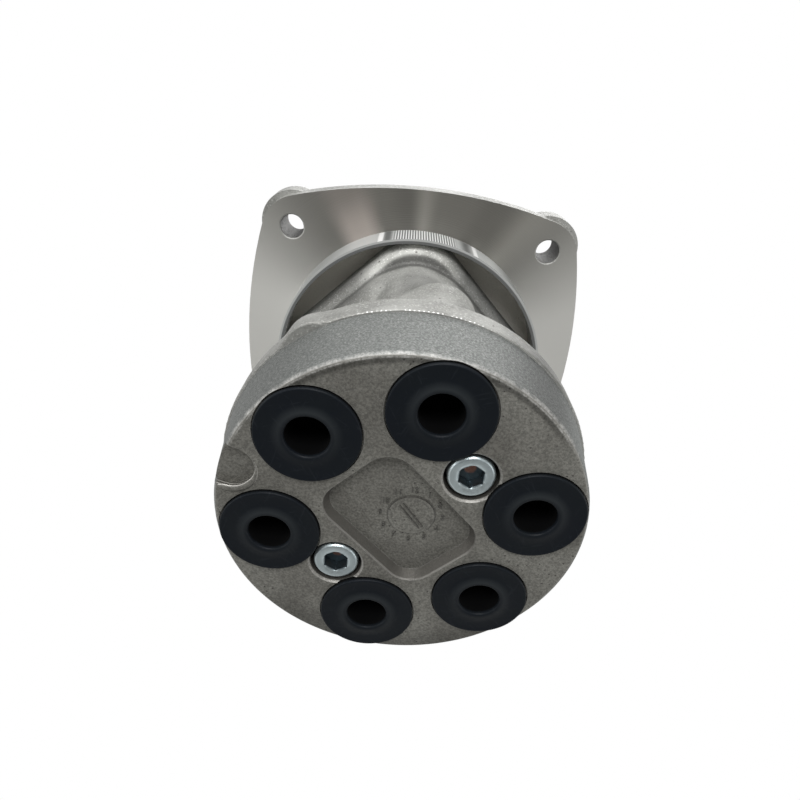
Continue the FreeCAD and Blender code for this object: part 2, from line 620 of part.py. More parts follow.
def make_joint_seals():
    """O-rings in the port plate's grooves, one round each riser."""
    z = JOINT_Z - SEAL_WIRE_RADIUS
    rings = []
    for at in riser_places():
        rings.append(Part.makeTorus(SEAL_CENTRE_RADIUS, SEAL_WIRE_RADIUS - SEAL_GAP,
                                    V(at.x, at.y, z)))
    return rings


def make_plug(angle):
    """Press-in shipping plug: thin flange, hollow stem."""
    at = polar(PORT_CIRCLE, angle)
    back = FACE_Z + PORT_SEAT_DEPTH
    front = back - PLUG_FLANGE_THICKNESS
    flange = rounded_level(rod(PLUG_FLANGE_RADIUS, front, back, at), PLUG_EDGE_ROUND, front)
    stem = rod(PORT_BORE_RADIUS - PLUG_FIT, back, back + PLUG_STEM_LENGTH, at)
    ridge = tube(PLUG_RIDGE_RADIUS, PLUG_RIDGE_RADIUS - PLUG_RIDGE_WIDTH,
                 front - PLUG_RIDGE_HEIGHT, front, at)
    plug = flange.fuse([stem, ridge])
    return plug.cut(rod(PLUG_HOLE_RADIUS, front - CUT_MARGIN, front + PLUG_HOLE_DEPTH, at))


def make_spool(at):
    """Pressure reducing spool: land, groove, spring collar, neck and head."""
    groove_z = PRESSURE_GALLERY_Z + SPOOL_STROKE
    head_z = SKIRT_BOTTOM_Z + SKIRT_LIP_THICKNESS + SPOOL_STROKE + SPOOL_HEAD_PLAY
    body = rod(SPOOL_RADIUS, SPOOL_BOTTOM_Z, COLLAR_BOTTOM_Z, at)
    groove = tube(SPOOL_RADIUS + CUT_MARGIN, SPOOL_GROOVE_RADIUS, groove_z,
                  groove_z + SPOOL_GROOVE_WIDTH, at)
    collar = rod(SPOOL_COLLAR_RADIUS, COLLAR_BOTTOM_Z, COLLAR_TOP_Z, at)
    neck = rod(SPOOL_NECK_RADIUS, COLLAR_TOP_Z, head_z, at)
    head = rod(SPOOL_HEAD_RADIUS, head_z, head_z + SPOOL_HEAD_THICKNESS, at)
    return body.cut(groove).fuse([collar, neck, head])


def make_plunger(at):
    """Plunger: domed rod, stop shoulder, and a skirt that holds the spool's head."""
    shaft = rod(PLUNGER_RADIUS, BUSH_BOTTOM_Z, PIVOT_Z, at)
    dome = Part.makeSphere(PLUNGER_RADIUS, V(at.x, at.y, PIVOT_Z))
    shoulder = rod(PLUNGER_SHOULDER_RADIUS, SHOULDER_BOTTOM_Z, BUSH_BOTTOM_Z, at)
    skirt = rod(SKIRT_RADIUS, SKIRT_BOTTOM_Z, SHOULDER_BOTTOM_Z, at)
    lip_top = SKIRT_BOTTOM_Z + SKIRT_LIP_THICKNESS
    bore = rod(SKIRT_BORE_RADIUS, lip_top, SKIRT_BORE_TOP_Z, at)
    lip = rod(SKIRT_LIP_RADIUS, SKIRT_BOTTOM_Z - CUT_MARGIN, lip_top, at)
    return shaft.fuse([dome, shoulder, skirt]).cut([bore, lip])


def make_spring_seat(at):
    """Loose washer between the plunger's shoulder and both springs."""
    return tube(SPRING_SEAT_RADIUS, SKIRT_RADIUS + SPRING_SEAT_GAP,
                SPRING_SEAT_BOTTOM_Z, SHOULDER_BOTTOM_Z, at)


def make_coil(radius, wire, turns, z0, z1, at):
    """Compression spring as a round wire wound between two heights."""
    low = z0 + wire / 2 + SPRING_END_GAP
    height = z1 - z0 - wire - 2 * SPRING_END_GAP
    path = Part.makeLongHelix(height / turns, height, radius)
    section = Part.Wire(Part.Circle(V(radius, 0, 0), V(0, 1, 0), wire / 2).toShape())
    coil = Part.Wire(path.Edges).makePipeShell([section], True, True)
    coil.translate(V(at.x, at.y, low))
    return coil


def make_return_spring(at):
    return make_coil(RETURN_SPRING_RADIUS, RETURN_SPRING_WIRE, RETURN_SPRING_TURNS,
                     CHAMBER_FLOOR_Z, SPRING_SEAT_BOTTOM_Z, at)


def make_control_spring(at):
    return make_coil(CONTROL_SPRING_RADIUS, CONTROL_SPRING_WIRE, CONTROL_SPRING_TURNS,
                     COLLAR_TOP_Z, SPRING_SEAT_BOTTOM_Z, at)


def make_guide_bush(at):
    """Guide bush with an outside seal groove and a wiper recess on top."""
    body = tube(BUSH_RADIUS, PLUNGER_RADIUS + PLUNGER_FIT, BUSH_BOTTOM_Z, CUP_FLOOR_Z, at)
    groove_z = CUP_FLOOR_Z - BUSH_GROOVE_DROP
    groove_floor = BUSH_RADIUS - 2 * BUSH_RING_WIRE_RADIUS - SEAL_GAP
    groove = tube(BUSH_RADIUS + CUT_MARGIN, groove_floor, groove_z - BUSH_GROOVE_WIDTH / 2,
                  groove_z + BUSH_GROOVE_WIDTH / 2, at)
    recess = rod(WIPER_RADIUS + WIPER_GAP, CUP_FLOOR_Z - WIPER_HEIGHT, CUP_FLOOR_Z + CUT_MARGIN, at)
    return body.cut([groove, recess])


def make_bush_seals():
    """O-rings round the guide bushes."""
    z = CUP_FLOOR_Z - BUSH_GROOVE_DROP
    centre_radius = BUSH_RADIUS - BUSH_RING_WIRE_RADIUS - SEAL_GAP / 2
    rings = []
    for angle in UNITS.values():
        at = polar(UNIT_CIRCLE, angle, z)
        rings.append(Part.makeTorus(centre_radius, BUSH_RING_WIRE_RADIUS, at))
    return rings


def make_wipers():
    """Wiper rings round the plunger rods."""
    return [tube(WIPER_RADIUS, PLUNGER_RADIUS + WIPER_GAP, CUP_FLOOR_Z - WIPER_HEIGHT,
                 CUP_FLOOR_Z, polar(UNIT_CIRCLE, angle)) for angle in UNITS.values()]


def make_retainer_plate():
    """Disc that holds the four guide bushes down, clamped by the joint's stud."""
    disc = tube(CUP_RADIUS - RETAINER_EDGE_GAP, STUD_RADIUS + STUD_GAP, CUP_FLOOR_Z, RETAINER_TOP_Z)
    holes = [rod(PLUNGER_RADIUS + RETAINER_HOLE_GAP, CUP_FLOOR_Z - CUT_MARGIN,
                 RETAINER_TOP_Z + CUT_MARGIN, polar(UNIT_CIRCLE, angle))
             for angle in UNITS.values()]
    return disc.cut(holes)


def make_ears(base_z):
    """A pair of round-ended ears along X, from a base to the pivot, bored for a pin."""
    low, high = sorted((base_z, PIVOT_Z))
    pair = []
    for side in (-1, 1):
        x0, x1 = sorted((side * EAR_INNER, side * EAR_OUTER))
        upright = block(x0, x1, -EAR_RADIUS, EAR_RADIUS, low, high)
        eye = Part.makeCylinder(EAR_RADIUS, x1 - x0, V(x0, 0, PIVOT_Z), V(1, 0, 0))
        pair.append(upright.fuse(eye))
    span = EAR_OUTER + CUT_MARGIN
    bore = Part.makeCylinder(PIN_RADIUS + PIN_FIT, 2 * span, V(-span, 0, PIVOT_Z), V(1, 0, 0))
    return pair[0].fuse(pair[1]).cut(bore)


def make_joint_fork():
    """Lower fork of the universal joint: stud, hexagon and two ears along X."""
    stud = rod(STUD_RADIUS, RETAINER_TOP_Z - STUD_LENGTH, RETAINER_TOP_Z)
    base = hexagon(FORK_HEX_FLATS, RETAINER_TOP_Z, FORK_BASE_Z)
    return base.fuse([stud, make_ears(FORK_BASE_Z)])


def make_lever_yoke():
    """Upper yoke of the universal joint: two ears along Y, a disc and a threaded shank."""
    ears = make_ears(YOKE_BASE_Z)
    ears.rotate(V(0, 0, 0), V(0, 0, 1), 90.0)
    base = rod(YOKE_BASE_RADIUS, YOKE_BASE_Z, YOKE_TOP_Z)
    shank = rod(SHANK_RADIUS, YOKE_TOP_Z, YOKE_TOP_Z + SHANK_LENGTH)
    return base.fuse([ears, shank])


def make_lower_pin():
    return Part.makeCylinder(PIN_RADIUS, 2 * EAR_OUTER, V(-EAR_OUTER, 0, PIVOT_Z), V(1, 0, 0))


def make_upper_pins():
    """Two short pins along Y, one each side of the long pin."""
    length = EAR_OUTER - PIN_INNER_END
    starts = (-EAR_OUTER, PIN_INNER_END)
    return [Part.makeCylinder(PIN_RADIUS, length, V(0, y, PIVOT_Z), V(0, 1, 0)) for y in starts]


def make_cross_block():
    """Cross block between the two forks, bored for both sets of pins."""
    cube = block(-CROSS_HALF, CROSS_HALF, -CROSS_HALF, CROSS_HALF,
                 PIVOT_Z - CROSS_HALF, PIVOT_Z + CROSS_HALF)
    cube = cube.common(Part.makeSphere(CROSS_CORNER_RADIUS, V(0, 0, PIVOT_Z)))
    span = CROSS_HALF + CUT_MARGIN
    bore = PIN_RADIUS + PIN_FIT
    along_x = Part.makeCylinder(bore, 2 * span, V(-span, 0, PIVOT_Z), V(1, 0, 0))
    along_y = Part.makeCylinder(bore, 2 * span, V(0, -span, PIVOT_Z), V(0, 1, 0))
    return cube.cut([along_x, along_y])


def make_actuating_plate():
    """Hat-shaped plate that the lever tilts onto the plungers."""
    plate_top = ACTUATOR_Z + ACTUATOR_THICKNESS
    wall = HAT_INNER_RADIUS + HAT_WALL
    hole = SHANK_RADIUS + STUD_GAP
    return turned([(HAT_INNER_RADIUS, ACTUATOR_Z), (ACTUATOR_RADIUS, ACTUATOR_Z),
                   (ACTUATOR_RADIUS, plate_top), (wall, plate_top), (wall, HAT_TOP_Z),
                   (hole, HAT_TOP_Z), (hole, YOKE_TOP_Z), (HAT_INNER_RADIUS, YOKE_TOP_Z)])


def make_nut(flats, thread_radius, z0, z1):
    """Hexagon nut with bevelled corners."""
    corner = flats / math.sqrt(3)
    bevel = corner - flats / 2
    middle = (z0 + z1) / 2
    crown = flats / 2
    rounded = turned([(0, z0), (crown, z0), (corner, z0 + bevel), (corner, middle),
                      (corner, z1 - bevel), (crown, z1), (0, z1)])
    return hexagon(flats, z0, z1).common(rounded).cut(
        rod(thread_radius + THREAD_FIT, z0 - CUT_MARGIN, z1 + CUT_MARGIN))


def make_lever():
    """Lever stub: hexagon, round sleeve, shoulder and a threaded end for the grip."""
    hex_part = hexagon(LEVER_HEX_FLATS, PLATE_NUT_TOP_Z, LEVER_HEX_TOP_Z)
    sleeve = rod(LEVER_SLEEVE_RADIUS, LEVER_HEX_TOP_Z, LEVER_SLEEVE_TOP_Z)
    shoulder = taper(LEVER_SLEEVE_RADIUS, LEVER_THREAD_RADIUS, LEVER_SLEEVE_TOP_Z,
                     LEVER_SHOULDER_TOP_Z)
    thread = rod(LEVER_THREAD_RADIUS, LEVER_SHOULDER_TOP_Z, LEVER_TOP_Z)
    bore = rod(SHANK_RADIUS + THREAD_FIT, PLATE_NUT_TOP_Z - CUT_MARGIN,
               PLATE_NUT_TOP_Z + LEVER_BORE_DEPTH)
    return hex_part.fuse([sleeve, shoulder, thread]).cut(bore)


def boot_wall_line():
    """The boot's middle line: base, straight rise, folds that narrow upwards, and the neck."""
    start_z = BOOT_BASE_TOP_Z + BOOT_RISE
    end_z = BOOT_TOP_Z - BOOT_NECK_LENGTH
    neck = BOOT_NECK_RADIUS + BOOT_WALL / 2
    steps = 2 * BOOT_FOLDS
    points = [(BOOT_SHOULDER_RADIUS, BOOT_BASE_TOP_Z)]
    for k in range(steps):
        share = k / steps
        radius = BOOT_SHOULDER_RADIUS + (neck - BOOT_SHOULDER_RADIUS) * share**BOOT_TAPER_POWER
        fold = BOOT_FOLD_DEPTH / 2 if k % 2 == 0 else -BOOT_FOLD_DEPTH / 2
        fold *= 1 - share * BOOT_FOLD_SHRINK
        points.append((radius + fold, start_z + (end_z - start_z) * share))
    return points + [(neck, end_z), (neck, BOOT_TOP_Z)]


def offset_line(points, distance):
    """The same line moved sideways, corner by corner."""
    moved = []
    for k, (r, z) in enumerate(points):
        before = points[max(k - 1, 0)]
        after = points[min(k + 1, len(points) - 1)]
        run = V(after[0] - before[0], 0, after[1] - before[1])
        run.normalize()
        moved.append((r + run.z * distance, z - run.x * distance))
    return moved


def boot_screw_holes(z0, z1):
    """Clearance holes for the four screws of the boot's ring."""
    radius = BOOT_SCREW_RADIUS + BOOT_SCREW_GAP
    return [rod(radius, z0 - CUT_MARGIN, z1 + CUT_MARGIN, polar(BOOT_SCREW_CIRCLE, turn))
            for turn in QUARTERS]


def make_boot():
    """Rubber boot from the casing's top to the lever, as one closed wall."""
    middle = boot_wall_line()
    outside = offset_line(middle, BOOT_WALL / 2)
    inside = offset_line(middle, -BOOT_WALL / 2)
    outside[0] = (outside[0][0], BOOT_BASE_TOP_Z)
    inside[0] = (inside[0][0], BOOT_BASE_TOP_Z)
    outside[-1] = (outside[-1][0], BOOT_TOP_Z)
    inside[-1] = (inside[-1][0], BOOT_TOP_Z)
    skin = turned(outside + inside[::-1])
    base = tube(BOOT_BASE_RADIUS, BOOT_BASE_INNER, FLANGE_THICKNESS, BOOT_BASE_TOP_Z)
    return skin.fuse(base).cut(boot_screw_holes(FLANGE_THICKNESS, BOOT_BASE_TOP_Z))


def make_boot_ring():
    """Flat ring that clamps the boot's base."""
    ring = tube(BOOT_BASE_RADIUS, BOOT_RING_INNER, BOOT_BASE_TOP_Z, BOOT_RING_TOP_Z)
    return ring.cut(boot_screw_holes(BOOT_BASE_TOP_Z, BOOT_RING_TOP_Z))


def make_boot_screws():
    """Four small socket screws that hold the boot's ring."""
    screws = []
    for turn in QUARTERS:
        at = polar(BOOT_SCREW_CIRCLE, turn)
        top = BOOT_RING_TOP_Z + BOOT_SCREW_HEAD_HEIGHT
        head = rod(BOOT_SCREW_HEAD_RADIUS, BOOT_RING_TOP_Z, top, at)
        head = rounded_level(head, BOOT_SCREW_HEAD_ROUND, top)
        shank = rod(BOOT_SCREW_RADIUS, BOOT_RING_TOP_Z - BOOT_SCREW_LENGTH, BOOT_RING_TOP_Z, at)
        socket = hexagon(BOOT_SCREW_SOCKET_FLATS, top - BOOT_SCREW_SOCKET_DEPTH,
                         top + CUT_MARGIN, at)
        screws.append(head.fuse(shank).cut(socket))
    return screws


def make_boot_clip():
    """Band round the boot's neck."""
    inner = BOOT_NECK_RADIUS + BOOT_WALL + CLIP_GAP
    top = BOOT_TOP_Z - CLIP_DROP
    return tube(inner + CLIP_THICKNESS, inner, top - CLIP_WIDTH, top)


def all_parts():
    parts = {
        "casing": make_casing(),
        "port_plate": make_port_plate(),
        "plate_screws": Part.makeCompound(make_plate_screws()),
        "joint_seals": Part.makeCompound(make_joint_seals()),
        "bush_seals": Part.makeCompound(make_bush_seals()),
        "plunger_wipers": Part.makeCompound(make_wipers()),
        "retainer_plate": make_retainer_plate(),
        "joint_fork": make_joint_fork(),
        "lower_pivot_pin": make_lower_pin(),
        "cross_block": make_cross_block(),
        "upper_pivot_pins": Part.makeCompound(make_upper_pins()),
        "lever_yoke": make_lever_yoke(),
        "actuating_plate": make_actuating_plate(),
        "plate_nut": make_nut(PLATE_NUT_FLATS, SHANK_RADIUS, HAT_TOP_Z, PLATE_NUT_TOP_Z),
        "lever": make_lever(),
        "grip_nut": make_nut(GRIP_NUT_FLATS, LEVER_THREAD_RADIUS,
                             LEVER_SHOULDER_TOP_Z + GRIP_NUT_LIFT,
                             LEVER_SHOULDER_TOP_Z + GRIP_NUT_LIFT + GRIP_NUT_HEIGHT),
        "boot": make_boot(),
        "boot_ring": make_boot_ring(),
        "boot_screws": Part.makeCompound(make_boot_screws()),
        "boot_clip": make_boot_clip(),
        "plug_pressure": make_plug(PRESSURE_PORT),
        "plug_tank": make_plug(TANK_PORT),
    }
    for unit, angle in UNITS.items():
        at = polar(UNIT_CIRCLE, angle)
        parts["guide_bush_" + unit] = make_guide_bush(at)
        parts["plunger_" + unit] = make_plunger(at)
        parts["spring_seat_" + unit] = make_spring_seat(at)
        parts["return_spring_" + unit] = make_return_spring(at)
        parts["control_spring_" + unit] = make_control_spring(at)
        parts["spool_" + unit] = make_spool(at)
        parts["plug_" + unit] = make_plug(SERVICE_PORTS[unit])
    return parts


def main():
    os.makedirs("parts", exist_ok=True)
    for name, shape in all_parts().items():
        shape.exportStep("parts/" + name + ".step")
        state = "valid" if shape.isValid() else "NOT VALID"
        print(name, len(shape.Solids), "solids", round(shape.Volume / 1000, 3), "cm3", state)


main()
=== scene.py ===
# %% [markdown]
# # A hydraulic pilot control valve, seen from its port face
#
# The valve sits under a machine's control lever. Its square flange bolts up under a
# console, the lever and its rubber boot stand above, and the cast body hangs below with
# six oil ports in a round plate. The picture looks up at that plate.
#
# The imported model brings every rigid part in its true place. This lesson dresses it: the
# sand-cast neck, the shipping plugs, the screws and the soft boot are made here, and each
# metal gets the finish that its maker's tools leave on it, with some light and shade
# painted into the colours: painted reflection, painted highlights and painted shade.

# %% Load the imported model
import math

import bmesh
import bpy
import numpy as np
from mathutils import Matrix, Vector


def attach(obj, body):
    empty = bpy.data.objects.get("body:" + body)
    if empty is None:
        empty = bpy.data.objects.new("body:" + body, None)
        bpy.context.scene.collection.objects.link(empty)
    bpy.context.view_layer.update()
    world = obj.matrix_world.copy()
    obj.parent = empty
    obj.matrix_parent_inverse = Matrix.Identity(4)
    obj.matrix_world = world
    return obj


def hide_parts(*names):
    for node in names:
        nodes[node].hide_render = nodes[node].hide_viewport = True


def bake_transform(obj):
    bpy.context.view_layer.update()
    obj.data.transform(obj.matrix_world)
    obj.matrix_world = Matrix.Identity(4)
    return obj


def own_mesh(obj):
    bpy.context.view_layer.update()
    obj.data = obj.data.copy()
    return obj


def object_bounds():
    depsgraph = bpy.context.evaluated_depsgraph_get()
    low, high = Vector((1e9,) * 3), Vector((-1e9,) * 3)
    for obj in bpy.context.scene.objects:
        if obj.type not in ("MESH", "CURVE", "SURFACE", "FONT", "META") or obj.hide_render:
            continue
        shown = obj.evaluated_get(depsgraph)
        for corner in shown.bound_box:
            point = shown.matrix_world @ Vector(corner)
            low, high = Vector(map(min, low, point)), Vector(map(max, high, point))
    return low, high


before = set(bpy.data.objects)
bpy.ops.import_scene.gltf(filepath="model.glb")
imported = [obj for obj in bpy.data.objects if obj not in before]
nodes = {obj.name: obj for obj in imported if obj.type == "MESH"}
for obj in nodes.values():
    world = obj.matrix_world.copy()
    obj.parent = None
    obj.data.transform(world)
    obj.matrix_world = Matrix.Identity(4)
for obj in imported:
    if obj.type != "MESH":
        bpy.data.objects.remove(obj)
cad_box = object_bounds()
MM = 0.001

# %% [markdown]
# ## The camera
#
# The photograph was taken from below and in front with a wide lens, close to the part, so
# the round plate looks large against the square flange behind it. A wide lens held close
# gives that same swelling. The place and the turn were worked out from the circles of the
# six plugs, whose real places are known from the solid model.

# %% Camera
def new_object(name, data):
    """A new object, linked into the scene."""
    thing = bpy.data.objects.new(name, data)
    bpy.context.scene.collection.objects.link(thing)
    return thing


CAMERA_LENS = 26.015
CAMERA_SENSOR = 36.0
CAMERA_PLACE = Vector((-0.00478, -0.08241, -0.17793))
CAMERA_RIGHT = Vector((0.9953, -0.0921, 0.0304))
CAMERA_UP = Vector((-0.0951, -0.8673, 0.4888))

camera_data = bpy.data.cameras.new("camera")
camera_data.lens = CAMERA_LENS
camera_data.sensor_width = CAMERA_SENSOR
camera = new_object("camera", camera_data)
camera_turn = Matrix((CAMERA_RIGHT, CAMERA_UP, CAMERA_RIGHT.cross(CAMERA_UP))).transposed()
camera.matrix_world = Matrix.Translation(CAMERA_PLACE) @ camera_turn.to_4x4()
bpy.context.scene.camera = camera
bpy.context.scene.view_settings.view_transform = "Standard"
print("camera at", tuple(round(v, 3) for v in CAMERA_PLACE))

# %% [markdown]
# ## Small helpers for nodes
#
# Materials and Geometry Nodes are both trees of nodes. A few short helpers keep the rest of
# the lesson readable: one adds a node and fills or wires its inputs, and the plain signs
# for plus, minus, times and divide between sockets stand for Math nodes, so that a formula
# reads as it would on paper.

# %% Node helpers
Socket = bpy.types.NodeSocket
FLOAT, VECTOR = "NodeSocketFloat", "NodeSocketVector"
MATERIAL, GEOMETRY = "NodeSocketMaterial", "NodeSocketGeometry"


def fill(node, inputs):
    """Fills or wires a node's inputs, named by label or by number."""
    for key, value in inputs.items():
        if isinstance(value, Socket):
            value.id_data.links.new(value, node.inputs[key])
        else:
            node.inputs[key].default_value = value
    return node


def add_node(tree, kind, inputs=None, **settings):
    """A node with its settings made and its inputs filled or wired."""
    node = tree.nodes.new(kind)
    for key, value in settings.items():
        setattr(node, key, value)
    return fill(node, inputs or {})


def given(tree, kind, label):
    """What a node without inputs gives, such as a place or a normal."""
    return tree.nodes.new(kind).outputs[label]


def tree_of(*values):
    """The tree of the first socket among some values."""
    return next(v.id_data for v in values if isinstance(v, Socket))


def maths(operation, *values):
    """The result of a Math node."""
    return add_node(tree_of(*values), "ShaderNodeMath", dict(enumerate(values)),
                    operation=operation).outputs[0]


def sign(operation, swapped=False):
    """A Math operation in the form that Python asks for behind a plain sign."""
    if swapped:
        return lambda value, other: maths(operation, other, value)
    return lambda value, other: maths(operation, value, other)


for name, operation in (("add", "ADD"), ("sub", "SUBTRACT"), ("mul", "MULTIPLY"),
                        ("truediv", "DIVIDE")):
    setattr(Socket, f"__{name}__", sign(operation))
    setattr(Socket, f"__r{name}__", sign(operation, swapped=True))
Socket.__abs__ = lambda value: maths("ABSOLUTE", value)


def smooth_step(value, low, high):
    """0 below low, 1 above high, and a smooth rise between."""
    return add_node(value.id_data, "ShaderNodeMapRange",
                    {"Value": value, "From Min": low, "From Max": high},
                    interpolation_type="SMOOTHSTEP").outputs["Result"]


def mix_colours(share, first, second, blend="MIX"):
    """Two colours mixed by a share."""
    return add_node(tree_of(share, first, second), "ShaderNodeMix",
                    {0: share, 6: first, 7: second}, data_type="RGBA",
                    blend_type=blend).outputs[2]


def scaled(colour, factor):
    """A colour made lighter or darker by a factor."""
    grey = add_node(tree_of(colour, factor), "ShaderNodeCombineXYZ", dict.fromkeys("XYZ", factor))
    return mix_colours(1.0, colour, grey.outputs[0], blend="MULTIPLY")


def hypotenuse(x, y):
    """The length of two parts at right angles."""
    return maths("SQRT", x * x + y * y)


def split(vector):
    """The three parts of a vector."""
    return add_node(vector.id_data, "ShaderNodeSeparateXYZ", {"Vector": vector}).outputs


def noise(tree, **inputs):
    """A noise texture's grey value."""
    return add_node(tree, "ShaderNodeTexNoise", inputs).outputs["Fac"]


def line_noise(value, detail):
    """Noise along a single measure, such as an angle or a radius."""
    return add_node(value.id_data, "ShaderNodeTexNoise",
                    {"W": value, "Scale": 1.0, "Detail": detail},
                    noise_dimensions="1D").outputs["Fac"]


def new_group(name, kind, inputs, outputs):
    """An empty node group with named sockets, and its input and output nodes."""
    tree = bpy.data.node_groups.new(name, kind)
    for label, socket_type, *value in inputs:
        socket = tree.interface.new_socket(label, in_out="INPUT", socket_type=socket_type)
        if value:
            socket.default_value = value[0]
    for label, socket_type in outputs:
        tree.interface.new_socket(label, in_out="OUTPUT", socket_type=socket_type)
    return tree, tree.nodes.new("NodeGroupInput").outputs, tree.nodes.new("NodeGroupOutput")


print("node helpers ready")

# %% [markdown]
# ## Floor and light
#
# A studio photographer would lay the part on white paper under large soft lamps. The
# camera here looks up from below the floor's level, so the paper shows only to a camera
# that is above it, and stays out of the way of the light that comes from below. The world
# is plain white to the camera and a soft grey room to everything else: darker straight
# down, brighter to the sides, which gives turned metal part of its slow gradient; the rest
# of it is a painted reflection in the turned face's colour.

# %% Floor
FLOOR_Z = cad_box[0][2] - 0.0002
FLOOR_HALF = 2.0
FLOOR_WHITE = (0.93, 0.93, 0.93, 1)

floor_mesh = bpy.data.meshes.new("floor")
floor_corners = [(x * FLOOR_HALF, y * FLOOR_HALF, FLOOR_Z)
                 for x, y in ((-1, -1), (1, -1), (1, 1), (-1, 1))]
floor_mesh.from_pydata(floor_corners, [], [(0, 1, 2, 3)])
floor = new_object("floor", floor_mesh)

paper = bpy.data.materials.new("white_paper")
paper.use_nodes = True
tree = paper.node_tree
tree.nodes.clear()
paper_grain = noise(tree, Scale=30.0, Detail=6.0)
paper_tone = mix_colours(paper_grain * 0.05, FLOOR_WHITE, (0.8, 0.8, 0.8, 1))
paper_shader = add_node(tree, "ShaderNodeBsdfDiffuse", {"Color": paper_tone})
from_above = 1 - given(tree, "ShaderNodeNewGeometry", "Backfacing")
seen = from_above * given(tree, "ShaderNodeLightPath", "Is Camera Ray")
paper_mix = add_node(tree, "ShaderNodeMixShader", {
    0: seen, 1: given(tree, "ShaderNodeBsdfTransparent", 0),
    2: paper_shader.outputs[0]})
add_node(tree, "ShaderNodeOutputMaterial", {"Surface": paper_mix.outputs[0]})
floor.data.materials.append(paper)
print("floor at", round(FLOOR_Z / MM, 2), "mm")

# %% World
ROOM_DOWN = (0.16, 0.16, 0.155, 1)
ROOM_LEVEL = (0.62, 0.62, 0.61, 1)
ROOM_UP = (0.5, 0.5, 0.5, 1)
LOW_BLEND = (-0.95, -0.25)
HIGH_BLEND = (0.1, 0.8)

world = bpy.data.worlds.new("room")
bpy.context.scene.world = world
world.use_nodes = True
tree = world.node_tree
tree.nodes.clear()
rise = split(given(tree, "ShaderNodeTexCoord", "Generated"))["Z"]
room = mix_colours(smooth_step(rise, *LOW_BLEND), ROOM_DOWN, ROOM_LEVEL)
room = mix_colours(smooth_step(rise, *HIGH_BLEND), room, ROOM_UP)
to_camera = given(tree, "ShaderNodeLightPath", "Is Camera Ray")
world_colour = mix_colours(to_camera, room, (1, 1, 1, 1))
background = add_node(tree, "ShaderNodeBackground", {"Color": world_colour, "Strength": 1.0})
add_node(tree, "ShaderNodeOutputWorld", {"Surface": background.outputs[0]})
print("world: grey room, white to the camera")


# %% Lamps
def soft_lamp(name, place, aim, size, power):
    """A square area lamp turned towards a point."""
    data = bpy.data.lights.new(name, "AREA")
    data.size = size
    data.energy = power
    lamp = new_object(name, data)
    lamp.location = place
    lamp.rotation_euler = (Vector(aim) - Vector(place)).to_track_quat("-Z", "Y").to_euler()
    return lamp


VALVE_MIDDLE = (0, 0, -0.03)
soft_lamp("front_key", (0.0, -0.8, 0.0), VALVE_MIDDLE, 0.5, 2.4)
soft_lamp("front_low", (-0.05, -0.72, -0.56), VALVE_MIDDLE, 0.35, 5.0)
soft_lamp("left_side", (-0.75, -0.15, -0.30), VALVE_MIDDLE, 0.5, 1.4)
soft_lamp("right_side", (0.75, 0.05, -0.30), VALVE_MIDDLE, 0.5, 0.7)
soft_lamp("overhead", (0.25, -0.2, 1.1), VALVE_MIDDLE, 0.8, 6.0)
print("five soft lamps")

# %% [markdown]
# ## Effects that several finishes share
#
# Cast metal, turned metal and plated steel differ in numbers more than in kind, so each
# effect is a node group with its own dials. *Place* gives the distance from the valve's
# axis, the height and the angle in millimetres and degrees, which tells a turned face from
# a cast one. It also gives the distance from a square set on its corner, which is the
# outline of the pedestal. *Cast grain* is the print of sand in a mould. *Fine scratches* are
# what handling leaves on a soft metal, and *worn edges* finds sharp edges and brightens them.

# %% Place and band
DIAMOND = 24.0
group, source, result = new_group("place", "ShaderNodeTree", [], [
    (label, FLOAT) for label in ("Radius", "Height", "Angle", "Downward", "Diamond")])
across, deep, up = (part / MM for part in split(given(group, "ShaderNodeTexCoord", "Object")))
facing_down = -1 * split(given(group, "ShaderNodeNewGeometry", "Normal"))["Z"]
share = (abs(deep) - abs(across)) * (0.5 / DIAMOND) + 0.5
share = maths("MINIMUM", maths("MAXIMUM", share, 0.0), 1.0)
fill(result, {
    "Radius": hypotenuse(across, deep), "Height": up,
    "Angle": maths("DEGREES", maths("ARCTAN2", deep, across)),
    "Downward": smooth_step(facing_down, 0.75, 0.97),
    "Diamond": hypotenuse(abs(across) - DIAMOND * (1 - share), abs(deep) - DIAMOND * share)})
PLACE = group

group, source, result = new_group("band", "ShaderNodeTree", [
    ("Value", FLOAT, 0.0), ("Low", FLOAT, 0.0), ("High", FLOAT, 1.0), ("Soft", FLOAT, 0.1)],
    [("Mask", FLOAT)])
value, low, high, soft = (source[k] for k in range(4))
fall = smooth_step(value, high - soft, high + soft)
fill(result, {"Mask": smooth_step(value, low - soft, low + soft) * (1 - fall)})
BAND = group
print("groups: place, band")

# %% Distance from the nearest of several upright axes
group, source, result = new_group("axis_distance", "ShaderNodeTree", [
    ("Turn", FLOAT, 0.0), ("Reach X", FLOAT, 0.0), ("Reach Y", FLOAT, 0.0)], [("Distance", FLOAT)])
axes = split(add_node(group, "ShaderNodeVectorRotate", {
    "Vector": given(group, "ShaderNodeTexCoord", "Object"),
    "Angle": maths("RADIANS", source["Turn"])}, rotation_type="Z_AXIS").outputs[0])
fill(result, {"Distance": hypotenuse(abs(axes["X"] / MM) - source["Reach X"],
                                     abs(axes["Y"] / MM) - source["Reach Y"])})
AXIS_DISTANCE = group
print("group: axis distance")

